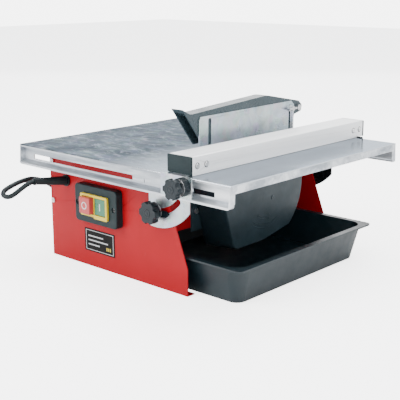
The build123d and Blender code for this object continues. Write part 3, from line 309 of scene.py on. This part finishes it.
def plated(name, dark, light, rough=0.26):
    """Bright zinc plating with tiny tarnish specks."""
    m = Maker(name)
    specks = m.noise(700, detail=4, rough=0.7)
    clouds = m.noise(90, detail=5, rough=0.6, twist=0.8)
    base = m.ramp(clouds, ((0.35, dark), (0.65, light)))
    base = m.mix(m.span(specks, 0, 0.5, start=0.62, end=0.78), base, TARNISH)
    roughness = m.span(clouds, rough - 0.05, rough + 0.12)
    return m.finish(base, roughness, m.bump(specks, strength=0.08, distance=0.06 * MM), metal=1.0)


def grit(name, bond, grain):
    """Diamond grit in a sintered bond."""
    m = Maker(name)
    grains = m.cells(1400, output="Distance")
    base = m.ramp(m.noise(900, detail=4, rough=0.7), ((0.35, bond), (0.65, grain)))
    return m.finish(base, 0.62, m.bump(grains, strength=0.6, distance=0.25 * MM), metal=0.4)


def windings(name, shadow, enamel):
    """Enamelled copper wire laid in bundles."""
    m = Maker(name)
    wires = m.node("ShaderNodeTexWave", wave_type="BANDS", bands_direction="X")
    wires.inputs["Scale"].default_value = 260
    wires.inputs["Distortion"].default_value = 4
    m.link(m.place, wires.inputs["Vector"])
    marks = wires.outputs["Fac"]
    base = m.ramp(marks, ((0.2, shadow), (0.8, enamel)))
    return m.finish(base, 0.3, m.bump(marks, strength=0.5, distance=0.4 * MM), metal=0.85)


ZINC_DARK, ZINC_LIGHT = (0.045, 0.055, 0.066), (0.14, 0.165, 0.19)
SLATE_DEEP, SLATE_BRIGHT = (0.009, 0.021, 0.028), (0.017, 0.034, 0.043)
# As galvanised() takes them: (start, end, colour, gloss) and (start, end, colour).
POLISHED = (-0.03, 0.11, (0.66, 0.70, 0.75), 0.10)
# Painted shade: the back quadrant and the rear fence bracket are darkened in place of shade and dark
# reflections.
BACK_PAINTED_SHADE = (0.150, 0.162, (0.03, 0.035, 0.04))

zinc_table = galvanised("zinc_table", ZINC_DARK, ZINC_LIGHT, 0.42, (0.55, 1, 1), dirt=0.2, flecking=0.8,
                        polished=POLISHED)
zinc_plate = galvanised("zinc_plate", (0.38, 0.43, 0.46), (0.58, 0.63, 0.66), 0.30, dirt=0.12, flecking=0.2,
                        painted_shade=BACK_PAINTED_SHADE)
red_paint = powder_coat("red_paint", (0.29, 0.003, 0.007), (0.33, 0.005, 0.010))
slate_plastic = moulded("slate_plastic", SLATE_DEEP, SLATE_BRIGHT, dust=0.04, shine=0.4)
cap_plastic = moulded("cap_plastic", (0.003, 0.011, 0.013), (0.007, 0.018, 0.021), dust=0.02, shine=0.22)
slate_guard = moulded("slate_guard", (0.016, 0.032, 0.040), (0.030, 0.052, 0.062), rough=0.27,
                      strength=0.12)
tray_plastic = moulded("tray_plastic", (0.002, 0.010, 0.014), (0.005, 0.014, 0.019), rough=0.36,
                       strength=0.03, dust=0.0, waves=0.01)
knob_plastic = moulded("knob_plastic", (0.001, 0.005, 0.008), (0.003, 0.009, 0.013), rough=0.36,
                       strength=0.12, dust=0.03, shine=0.3)
dark_screw = moulded("dark_screw", (0.006, 0.007, 0.008), (0.014, 0.015, 0.016), rough=0.3, grain=900)
yellow_plastic = moulded("yellow_plastic", (0.50, 0.36, 0.012), (0.62, 0.46, 0.025), rough=0.33,
                         strength=0.08)
red_plastic = moulded("red_plastic", (0.36, 0.030, 0.030), (0.46, 0.045, 0.045), rough=0.3, strength=0.06)
green_plastic = moulded("green_plastic", (0.020, 0.12, 0.060), (0.034, 0.17, 0.085), rough=0.3,
                        strength=0.06)
mark_paint = moulded("mark_paint", (0.50, 0.52, 0.52), (0.62, 0.64, 0.64), rough=0.4, strength=0.05)
label_film = moulded("label_film", (0.002, 0.002, 0.002), (0.004, 0.004, 0.004), rough=0.6, grain=600,
                     strength=0.05, dust=0.0, shine=0.15)
label_ink = moulded("label_ink", (0.34, 0.35, 0.36), (0.46, 0.47, 0.48), rough=0.35, strength=0.05)
fence_metal = brushed("fence_metal", (0.90, 0.91, 0.92), (0.97, 0.97, 0.97), 0.40, (1, 0.012, 1), metal=0.35)
blade_metal = turned("blade_metal", (0.34, 0.35, 0.37), (0.58, 0.59, 0.61))
turned_metal = turned("turned_metal", (0.38, 0.38, 0.38), (0.62, 0.62, 0.62))
knife_metal = brushed("knife_metal", (0.40, 0.41, 0.42), (0.62, 0.63, 0.64), 0.32, (1, 1, 0.02))
screw_metal = plated("screw_metal", (0.52, 0.53, 0.54), (0.78, 0.78, 0.78))
diamond = grit("diamond", (0.16, 0.14, 0.12), (0.46, 0.42, 0.35))
cast_metal = brushed("cast_metal", (0.34, 0.35, 0.36), (0.52, 0.53, 0.54), 0.5, (1, 1, 1), scale=500)
iron = brushed("iron", (0.05, 0.05, 0.05), (0.12, 0.12, 0.12), 0.5, (0.02, 1, 1), scale=900)
copper = windings("copper", (0.20, 0.05, 0.015), (0.62, 0.24, 0.09))
black_plastic = moulded("black_plastic", (0.010, 0.010, 0.011), (0.022, 0.022, 0.024), rough=0.45)
sheath = moulded("sheath", (0.002, 0.006, 0.007), (0.006, 0.012, 0.014), rough=0.44, grain=700,
                 strength=0.15, dust=0.02, shine=0.25)
brass = plated("brass", (0.62, 0.50, 0.28), (0.84, 0.72, 0.46))

LOOKS = {
    zinc_table: ("table_top",),
    zinc_plate: ("quadrants", "guard_side_plate", "fence_brackets"),
    red_paint: ("base_front_plate", "base_back_plate", "base_left_cover", "motor_bulkhead"),
    screw_metal: ("base_screws", "fence_rivets", "fence_washer", "fence_clamp_bolt", "guard_clamp_screw",
                  "guard_clamp_nut", "guard_pivot_bolt", "knife_bolts", "lower_guard_screws", "motor_bolts",
                  "pivot_pins", "tilt_bolts", "tilt_washers"),
    dark_screw: ("switch_screws",),
    fence_metal: ("fence_tube",),
    slate_plastic: ("lower_guard_inner", "lower_guard_outer"),
    cap_plastic: ("switch_box", "fence_caps"),
    slate_guard: ("guard_cover",),
    tray_plastic: ("water_tray",),
    knob_plastic: ("fence_knob", "tilt_knob_front", "tilt_knob_back", "fence_collar", "tilt_pointer"),
    yellow_plastic: ("switch_frame",),
    red_plastic: ("red_button",),
    green_plastic: ("green_button",),
    label_film: ("nameplate",),
    blade_metal: ("blade_disc",),
    diamond: ("diamond_rim",),
    turned_metal: ("blade_flanges", "blade_nut", "motor_shaft", "knife_bracket", "motor_bearings"),
    knife_metal: ("riving_knife",),
    cast_metal: ("motor_housing", "motor_shields"),
    iron: ("stator", "rotor"),
    copper: ("stator_windings",),
    black_plastic: ("cooling_fan", "switch_contact_block", "capacitor"),
    sheath: ("strain_relief", "plug_body"),
    brass: ("plug_pins",),
}

SOFT_EDGE = {  # millimetres
    "table_top": 0.35, "quadrants": 0.3, "guard_side_plate": 0.3, "fence_brackets": 0.3,
    "base_front_plate": 0.3, "base_back_plate": 0.3, "base_left_cover": 0.3, "motor_bulkhead": 0.3,
    "fence_tube": 0.25, "switch_box": 0.5, "fence_caps": 0.4, "lower_guard_outer": 0.6,
    "lower_guard_inner": 0.4, "guard_cover": 0.7, "water_tray": 0.7, "switch_frame": 0.35,
    "fence_knob": 0.4, "tilt_knob_front": 0.4, "tilt_knob_back": 0.4, "nameplate": 0.12,
    "riving_knife": 0.3, "plug_body": 0.8, "motor_housing": 0.4, "motor_shields": 0.6,
}
EDGE_LIMIT = math.radians(28)
EDGE_SEGMENTS = 2
WELD_WITHIN = 0.002 * MM


def soften(obj, width):
    """A small rolled edge on a piece with sharp corners."""
    weld = obj.modifiers.new("weld", "WELD")
    weld.merge_threshold = WELD_WITHIN
    bevel = obj.modifiers.new("edge", "BEVEL")
    bevel.width = width * MM
    bevel.segments = EDGE_SEGMENTS
    bevel.limit_method = "ANGLE"
    bevel.angle_limit = EDGE_LIMIT
    bevel.use_clamp_overlap = True
    bevel.harden_normals = False


def paint(obj, material):
    """Put one material on every slot of an object."""
    if not obj.material_slots:
        obj.data.materials.append(material)
    for place in obj.material_slots:
        place.link = "OBJECT"
        place.material = material


for look, names in LOOKS.items():
    for node_name in names:
        paint(NODES[node_name], look)
for node_name, width in SOFT_EDGE.items():
    soften(NODES[node_name], width)


# ------------------------------------------------------------------ mesh helpers
ON_AXIS = 1e-7
LATHE_STEPS = 48
RING_STEPS = 40
SHOULDER_OF_HEIGHT, SHOULDER_OF_WIDTH = 0.4, 0.25
LARGEST_INSET, INSET_OF_HEIGHT = 0.12, 0.35


def from_bmesh(name, work, material, body, smooth=False):
    """Turn a bmesh into a piece that rides on a body."""
    bmesh.ops.recalc_face_normals(work, faces=work.faces)
    mesh = bpy.data.meshes.new(name)
    work.to_mesh(mesh)
    work.free()
    if smooth:
        for face in mesh.polygons:
            face.use_smooth = True
    made = bpy.data.objects.new(name, mesh)
    bpy.context.collection.objects.link(made)
    mesh.materials.append(material)
    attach(made, body)
    return made


def pose_along(origin, axis):
    """Matrix that stands +Z along axis at origin."""
    turn = Vector(axis).normalized().to_track_quat("Z", "Y").to_matrix().to_4x4()
    return Matrix.Translation(Vector(origin)) @ turn


def skin(work, rows):
    """Faces from each row of vertices to the next, all the way round the row."""
    for near, far in zip(rows, rows[1:]):
        count = len(near)
        for k in range(count):
            n = (k + 1) % count
            work.faces.new((near[k], near[n], far[n], far[k]))


def lathe(name, origin, axis, profile, material, body):
    """A closed turned form: profile is (distance along axis, radius) and starts and ends on the axis."""
    work = bmesh.new()
    rows = []
    for along, radius in profile:
        if radius < ON_AXIS:
            rows.append([work.verts.new((0, 0, along))])
            continue
        turns = [2 * math.pi * i / LATHE_STEPS for i in range(LATHE_STEPS)]
        rows.append([work.verts.new((radius * math.cos(t), radius * math.sin(t), along)) for t in turns])
    for low, high in zip(rows, rows[1:]):
        for i in range(LATHE_STEPS):
            j = (i + 1) % LATHE_STEPS
            ring = [low[i % len(low)], low[j % len(low)], high[j % len(high)], high[i % len(high)]]
            corners = list(dict.fromkeys(ring))
            if len(corners) > 2:
                work.faces.new(corners)
    work.transform(pose_along(origin, axis))
    return from_bmesh(name, work, material, body, smooth=True)


def ring_mark(name, origin, axis, outer, inner, height, material, body):
    """A low raised ring with chamfered shoulders."""
    shoulder = min(height * SHOULDER_OF_HEIGHT, (outer - inner) * SHOULDER_OF_WIDTH)
    section = [
        (outer, 0), (outer, height - shoulder), (outer - shoulder, height), (inner + shoulder, height),
        (inner, height - shoulder), (inner, 0),
    ]
    work = bmesh.new()
    rows = []
    for i in range(RING_STEPS):
        angle = 2 * math.pi * i / RING_STEPS
        rows.append([work.verts.new((r * math.cos(angle), r * math.sin(angle), z)) for r, z in section])
    skin(work, [*rows, rows[0]])
    work.transform(pose_along(origin, axis))
    return from_bmesh(name, work, material, body)


def raised_shape(name, points, out, height, material, body):
    """A low raised plate: points is its closed outline in the CAD frame, and out the way that it rises."""
    work = bmesh.new()
    middle = sum((Vector(p) for p in points), Vector()) / len(points)
    reach = max((Vector(p) - middle).length for p in points)
    inset = 1 - min(LARGEST_INSET, INSET_OF_HEIGHT * height / reach)
    rise = Vector(out) * height
    foot = [work.verts.new(p) for p in points]
    top = [work.verts.new(middle + (Vector(p) - middle) * inset + rise) for p in points]
    work.faces.new(foot)
    work.faces.new(top)
    skin(work, [foot, top])
    return from_bmesh(name, work, material, body)


# ------------------------------------------------------------------ mains lead
# The route, the coil and the plug's place are in millimetres, as in the CAD.
CORD_DIAMETER = 7 * MM
LEAD_START = (-147.5, -202.9, 126.0)
LEAD_POINTS = [
    (-148.6, -210.5, 124.5), (-149.2, -217.3, 121.6), (-149.9, -224.1, 118), (-150.8, -230.5, 114.3),
    (-152, -237.7, 110.4), (-155, -242, 108.9), (-159.8, -244.4, 109), (-165, -244.2, 110.7),
    (-168.6, -241.3, 113.3), (-169.7, -236.7, 116.1), (-170.4, -226.6, 119.3), (-171.8, -216.4, 121.4),
    (-173, -205.7, 122.9), (-174.5, -194.6, 123.5), (-176.3, -184.5, 123), (-181.5, -164, 117),
    (-186.5, -143, 105.5), (-189.5, -121, 88), (-191, -100, 66), (-191, -80, 43),
    (-190.5, -59, 22), (-189.5, -35, 8), (-189, -9, 3.5), (-190, 24, 3.5), (-188.5, 62, 3.5),
    (-190.5, 102, 3.5), (-193, 140, 3.5), (-191, 170, 3.5), (-174, 194, 3.5), (-147, 203, 3.5),
    (-118, 195, 3.5), (-92, 181, 3.5),
]
COIL_MIDDLE = (-70, 222)
COIL_OUTER = 44.5
COIL_STEP = 7
COIL_TURNS = 6
POINTS_PER_TURN = 16
TAIL_POINTS = [(-53, 177.6, 10.4), (-34, 179, 7.2), (-15, 183.2, 3.9)]
PLUG_ENTRY = (8, 190.5, 6.9)
PLUG_TURN, PLUG_PITCH = math.radians(12), math.radians(17.5)
PLUG_AXIS = Vector((
    math.cos(PLUG_PITCH) * math.cos(PLUG_TURN), math.cos(PLUG_PITCH) * math.sin(PLUG_TURN),
    math.sin(PLUG_PITCH),
))
STRAIGHT_AT_PLUG = 11
SECTION_SEGMENTS = 5
SPLINE_STEPS = 6


def coil_point(turn):
    """One point of the coil: in along the bottom layer, then out along the top one."""
    low, high = CORD_DIAMETER / 2 / MM, CORD_DIAMETER * 1.5 / MM
    if turn <= 2:
        radius, height = COIL_OUTER - COIL_STEP * turn, low
    elif turn <= 3:
        radius, height = COIL_OUTER - 2 * COIL_STEP, low + (high - low) * (turn - 2)
    elif turn <= 5:
        radius, height = COIL_OUTER - COIL_STEP * (5 - turn), high
    else:
        radius, height = COIL_OUTER, high
    angle = 2 * math.pi * turn - math.pi / 2
    return (COIL_MIDDLE[0] + radius * math.cos(angle), COIL_MIDDLE[1] + radius * math.sin(angle), height)


coil_points = [coil_point(i / POINTS_PER_TURN) for i in range(COIL_TURNS * POINTS_PER_TURN + 1)]
before_plug = tuple(Vector(PLUG_ENTRY) - PLUG_AXIS * STRAIGHT_AT_PLUG)
route = [LEAD_START, *LEAD_POINTS, *coil_points, *TAIL_POINTS, before_plug, PLUG_ENTRY]

lead_curve = bpy.data.curves.new("mains_lead", "CURVE")
lead_curve.dimensions = "3D"
lead_curve.bevel_depth = CORD_DIAMETER / 2
lead_curve.bevel_resolution = SECTION_SEGMENTS
lead_curve.use_fill_caps = True
spline = lead_curve.splines.new("NURBS")
spline.points.add(len(route) - 1)
for control, point in zip(spline.points, route):
    control.co = (point[0] * MM, point[1] * MM, point[2] * MM, 1)
spline.order_u = 3
spline.use_endpoint_u = True
spline.resolution_u = SPLINE_STEPS
lead_curve.materials.append(sheath)
mains_lead = bpy.data.objects.new("mains_lead", lead_curve)
bpy.context.collection.objects.link(mains_lead)
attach(mains_lead, "base")
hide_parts("power_cord", "cord_coil", "cord_tail")


# ------------------------------------------------------------------ switch marks
FRONTWARD, BACKWARD, RIGHTWARD = (0, -1, 0), (0, 1, 0), (1, 0, 0)
SEATED = 0.02 * MM  # how far a mark's foot is sunk into the face that it stands on
MARK_RISE = 0.25 * MM
OFF_RING_OUTER, OFF_RING_INNER = 5.4 * MM, 4.0 * MM
BAR_HALF_WIDE, BAR_HALF_HIGH = 0.75 * MM, 5.2 * MM


def middle_of(low, high):
    """The middle of a box given by its corners."""
    return [(a + b) / 2 for a, b in zip(low, high)]


red_low, red_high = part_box("red_button")
red_middle = middle_of(red_low, red_high)
ring_mark("off_mark", (red_middle[0], red_low[1] + SEATED, red_middle[2]), FRONTWARD, OFF_RING_OUTER,
          OFF_RING_INNER, MARK_RISE, mark_paint, "off_button")

green_low, green_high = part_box("green_button")
green_middle = middle_of(green_low, green_high)
green_face = green_low[1] + SEATED
raised_shape("on_mark", [
    (green_middle[0] + x * BAR_HALF_WIDE, green_face, green_middle[2] + z * BAR_HALF_HIGH)
    for x, z in ((-1, -1), (1, -1), (1, 1), (-1, 1))
], FRONTWARD, MARK_RISE, mark_paint, "on_button")


# ------------------------------------------------------------------ label
label_low, label_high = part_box("nameplate")
INK_SEATED = 0.01 * MM
INK_RISE = 0.06 * MM

# Every number below is a share of the label's width or height.
BORDER = {
    "low": (0.04, 0.96, 0.06, 0.085),
    "high": (0.04, 0.96, 0.915, 0.94),
    "left": (0.04, 0.055, 0.085, 0.915),
    "right": (0.945, 0.96, 0.085, 0.915),
}
RULE_SPANS = ((0.12, 0.62), (0.12, 0.78), (0.12, 0.50))
RULE_TOP, RULE_PITCH, RULE_HEIGHT = 0.66, 0.19, 0.055
TICKS = 3
TICK_START, TICK_PITCH, TICK_WIDTH = 0.84, 0.055, 0.03
TICK_LOW, TICK_HIGH = 0.20, 0.34


def label_bar(name, x_low, x_high, z_low, z_high, material):
    """A printed bar, placed by shares of the label's width and height."""
    wide, high = label_high[0] - label_low[0], label_high[2] - label_low[2]
    face = label_low[1] + INK_SEATED
    corners = [(x_low, z_low), (x_high, z_low), (x_high, z_high), (x_low, z_high)]
    points = [(label_low[0] + x * wide, face, label_low[2] + z * high) for x, z in corners]
    raised_shape(name, points, FRONTWARD, INK_RISE, material, "base")


for side, shares in BORDER.items():
    label_bar(f"label_border_{side}", *shares, label_ink)
for row, (start, end) in enumerate(RULE_SPANS):
    height = RULE_TOP - RULE_PITCH * row
    label_bar(f"label_rule_{row}", start, end, height, height + RULE_HEIGHT, label_ink)
for column in range(TICKS):
    start = TICK_START - TICK_PITCH * column
    label_bar(f"label_tick_{column}", start, start + TICK_WIDTH, TICK_LOW, TICK_HIGH, yellow_plastic)


# ------------------------------------------------------------------ lower guard mouldings
blade_low, blade_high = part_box("blade_disc")
AXLE_Y, AXLE_Z = (blade_low[1] + blade_high[1]) / 2, (blade_low[2] + blade_high[2]) / 2
guard_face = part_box("lower_guard_outer")[1][0] - SEATED
MOULD_RISE = 0.6 * MM
MOULD_CHAMFER = 0.3 * MM
BAND_STEPS = 22

# Angles are in degrees about the axle: 0 points to the back of the machine and 90 upwards.
ARROW_RADIUS = 44 * MM
ARROW_HALF_WIDE, ARROW_HEAD_HALF_WIDE = 1.6 * MM, 4.5 * MM
ARROW_SHAFT = (-118, -84)
ARROW_HEAD_FOOT, ARROW_HEAD_TIP = -85, -75
RIBS = {
    "high": (-132, -62, 54 * MM, 55 * MM),
    "low": (-124, -66, 58.5 * MM, 59.5 * MM),
}
GATE_ANGLE, GATE_RADIUS = -52, 22 * MM
GATE_PROFILE = [(0, 0), (0, 3.2 * MM), (0.5 * MM, 3.0 * MM), (0.8 * MM, 2.4 * MM), (0.5 * MM, 1.6 * MM),
                (0.5 * MM, 0)]


def face_point(turn, radius):
    """A point on the guard's flat face at an angle and radius about the axle."""
    return (guard_face, AXLE_Y + radius * math.cos(turn), AXLE_Z + radius * math.sin(turn))


def arc_band(name, start, end, inner, outer):
    """A raised curved band on the guard's face."""
    work = bmesh.new()
    rise = Vector(RIGHTWARD) * MOULD_RISE
    rows = []
    for i in range(BAND_STEPS + 1):
        turn = math.radians(start + (end - start) * i / BAND_STEPS)
        corners = [
            Vector(face_point(turn, inner)), Vector(face_point(turn, outer)),
            Vector(face_point(turn, outer - MOULD_CHAMFER)) + rise,
            Vector(face_point(turn, inner + MOULD_CHAMFER)) + rise,
        ]
        rows.append([work.verts.new(p) for p in corners])
    skin(work, rows)
    work.faces.new(rows[0])
    work.faces.new(rows[-1])
    return from_bmesh(name, work, slate_plastic, "base")


arc_band("guard_arrow_shaft", *ARROW_SHAFT, ARROW_RADIUS - ARROW_HALF_WIDE, ARROW_RADIUS + ARROW_HALF_WIDE)
tip, foot = math.radians(ARROW_HEAD_TIP), math.radians(ARROW_HEAD_FOOT)
raised_shape("guard_arrow_head", [
    face_point(tip, ARROW_RADIUS), face_point(foot, ARROW_RADIUS + ARROW_HEAD_HALF_WIDE),
    face_point(foot, ARROW_RADIUS - ARROW_HEAD_HALF_WIDE),
], RIGHTWARD, MOULD_RISE, slate_plastic, "base")
for level, band in RIBS.items():
    arc_band(f"guard_rib_{level}", *band)
lathe("guard_gate_mark", face_point(math.radians(GATE_ANGLE), GATE_RADIUS), RIGHTWARD, GATE_PROFILE,
      slate_plastic, "base")


# ------------------------------------------------------------------ knob caps
CAP_PROFILE = [(0, 0), (0, 5.6 * MM), (0.35 * MM, 5.4 * MM), (0.5 * MM, 5.0 * MM), (0.25 * MM, 4.3 * MM),
               (0.25 * MM, 1.6 * MM), (0.45 * MM, 1.2 * MM), (0.5 * MM, 0)]


def knob_cap(node, front, body):
    """A raised hub cap with a dimple in the middle of a knob's outer face."""
    low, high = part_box(node)
    middle = middle_of(low, high)
    face = low[1] + SEATED if front else high[1] - SEATED
    lathe(node + "_cap", (middle[0], face, middle[2]), FRONTWARD if front else BACKWARD, CAP_PROFILE,
          knob_plastic, body)


knob_cap("fence_knob", True, "fence_knob_body")
knob_cap("tilt_knob_front", True, "tilt_knob_front_body")
knob_cap("tilt_knob_back", False, "tilt_knob_back_body")


# ------------------------------------------------------------------ rivet shadow rings
RIVET_HEAD = 3.4 * MM
RIVET_PITCH = 17 * MM
# Thin dark rings round the fence rivets' heads: painted shade, standing in for the shadow gap around each
# head.
SHADOW_RING_OUTER, SHADOW_RING_INNER = RIVET_HEAD + 0.8 * MM, RIVET_HEAD - 0.15 * MM
SHADOW_RING_RISE = 0.2 * MM

rivets_low, rivets_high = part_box("fence_rivets")
rivet_height = (rivets_low[2] + rivets_high[2]) / 2
fence_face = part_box("fence_tube")[1][0] - SEATED
first_rivet, last_rivet = rivets_low[1] + RIVET_HEAD, rivets_high[1] - RIVET_HEAD
rivets = (first_rivet, first_rivet + RIVET_PITCH, last_rivet - RIVET_PITCH, last_rivet)
for number, along in enumerate(rivets):
    ring_mark(f"rivet_shadow_ring_{number}", (fence_face, along, rivet_height), RIGHTWARD, SHADOW_RING_OUTER, SHADOW_RING_INNER,
              SHADOW_RING_RISE, dark_screw, "fence")


# ------------------------------------------------------------------ diamond rim
rim_low, rim_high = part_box("diamond_rim")
RIM_OUTER = (rim_high[1] - rim_low[1]) / 2
RIM_DEPTH = 6 * MM
RIM_CHAMFER = 0.3 * MM
RIM_SEGMENTS = 18
GULLET = math.radians(1.6)
SEGMENT_STEPS = 10


def rim_segments():
    """The rim as separate sintered segments with gullets between them."""
    work = bmesh.new()
    pitch = 2 * math.pi / RIM_SEGMENTS
    left, right = rim_low[0], rim_high[0]
    section = [
        (left, RIM_OUTER - RIM_DEPTH), (left, RIM_OUTER - RIM_CHAMFER), (left + RIM_CHAMFER, RIM_OUTER),
        (right - RIM_CHAMFER, RIM_OUTER), (right, RIM_OUTER - RIM_CHAMFER), (right, RIM_OUTER - RIM_DEPTH),
    ]
    for segment in range(RIM_SEGMENTS):
        start, end = segment * pitch + GULLET / 2, (segment + 1) * pitch - GULLET / 2
        rows = []
        for i in range(SEGMENT_STEPS + 1):
            turn = start + (end - start) * i / SEGMENT_STEPS
            rows.append([
                work.verts.new((x, AXLE_Y + r * math.cos(turn), AXLE_Z + r * math.sin(turn)))
                for x, r in section
            ])
        skin(work, rows)
        work.faces.new(rows[0])
        work.faces.new(rows[-1])
    return from_bmesh("diamond_segments", work, diamond, "blade")


segments = rim_segments()
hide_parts("diamond_rim")


# ------------------------------------------------------------------ floor and light
FLOOR_HALF = 6.0
FLOOR_DROP = 0.0002
FLOOR_COLOR, FLOOR_ROUGHNESS = (0.97, 0.97, 0.97), 0.85
FLOOR_SHADE = 0.985
FLOOR_GLOW = 3.0
AMBIENT_COLOR, AMBIENT_STRENGTH = (0.96, 0.98, 1.0, 1), 1.35
BACKDROP_COLOR, BACKDROP_STRENGTH = (1, 1, 1, 1), 6.0
# name, place, what it looks at, (width, height), watts
LIGHTS = (
    ("key", (-0.7, -1.6, 1.5), (0, 0, 0.1), (1.3, 1.0), 36),
    ("fill", (1.7, -0.7, 0.9), (0, 0, 0.1), (1.2, 1.0), 13),
    ("top", (0.1, 0.5, 1.9), (0, 0.1, 0.1), (1.6, 1.2), 48),
    ("back", (-1.7, 1.9, 1.0), (0, 0, 0.15), (2.6, 1.4), 22),
    ("low_front", (-0.5, -2.2, 0.45), (0, 0, 0.1), (2.2, 0.7), 16),
)


def plain(name, color, rough, glow):
    """The studio floor: it glows a little to the camera alone, like an over-lit sweep."""
    m = Maker(name)
    tone = m.noise(3, detail=4, rough=0.5)
    path = m.node("ShaderNodeLightPath")
    m.shader.inputs["Emission Color"].default_value = (1, 1, 1, 1)
    m.link(m.calc(path.outputs["Is Camera Ray"], glow, "MULTIPLY"), m.shader.inputs["Emission Strength"])
    darker = tuple(value * FLOOR_SHADE for value in color)
    return m.finish(m.ramp(tone, ((0.3, darker), (0.7, color))), rough)


floor_mesh = bpy.data.meshes.new("floor")
floor_mesh.from_pydata(
    [(-FLOOR_HALF, -FLOOR_HALF, 0), (FLOOR_HALF, -FLOOR_HALF, 0), (FLOOR_HALF, FLOOR_HALF, 0),
     (-FLOOR_HALF, FLOOR_HALF, 0)], [], [(0, 1, 2, 3)])
floor = bpy.data.objects.new("floor", floor_mesh)
floor.location.z = -FLOOR_DROP
bpy.context.collection.objects.link(floor)
floor_mesh.materials.append(plain("pale_floor", FLOOR_COLOR, FLOOR_ROUGHNESS, FLOOR_GLOW))

# The world lights the piece softly, and shows the camera alone a white backdrop.
world = bpy.data.worlds.new("studio")
world.use_nodes = True
sky = world.node_tree
ambient = sky.nodes["Background"]
ambient.inputs["Color"].default_value = AMBIENT_COLOR
ambient.inputs["Strength"].default_value = AMBIENT_STRENGTH
backdrop = sky.nodes.new("ShaderNodeBackground")
backdrop.inputs["Color"].default_value = BACKDROP_COLOR
backdrop.inputs["Strength"].default_value = BACKDROP_STRENGTH
sight = sky.nodes.new("ShaderNodeLightPath")
seen = sky.nodes.new("ShaderNodeMixShader")
sky.links.new(sight.outputs["Is Camera Ray"], seen.inputs[0])
sky.links.new(ambient.outputs[0], seen.inputs[1])
sky.links.new(backdrop.outputs[0], seen.inputs[2])
sky.links.new(seen.outputs[0], sky.nodes["World Output"].inputs["Surface"])
bpy.context.scene.world = world


def area_light(name, at, look, size, power):
    """A rectangular light that faces a point."""
    data = bpy.data.lights.new(name, "AREA")
    data.shape = "RECTANGLE"
    data.size, data.size_y = size
    data.energy = power
    lamp = bpy.data.objects.new(name, data)
    bpy.context.collection.objects.link(lamp)
    lamp.location = at
    lamp.rotation_euler = (Vector(look) - Vector(at)).to_track_quat("-Z", "Y").to_euler()


for light in LIGHTS:
    area_light(*light)
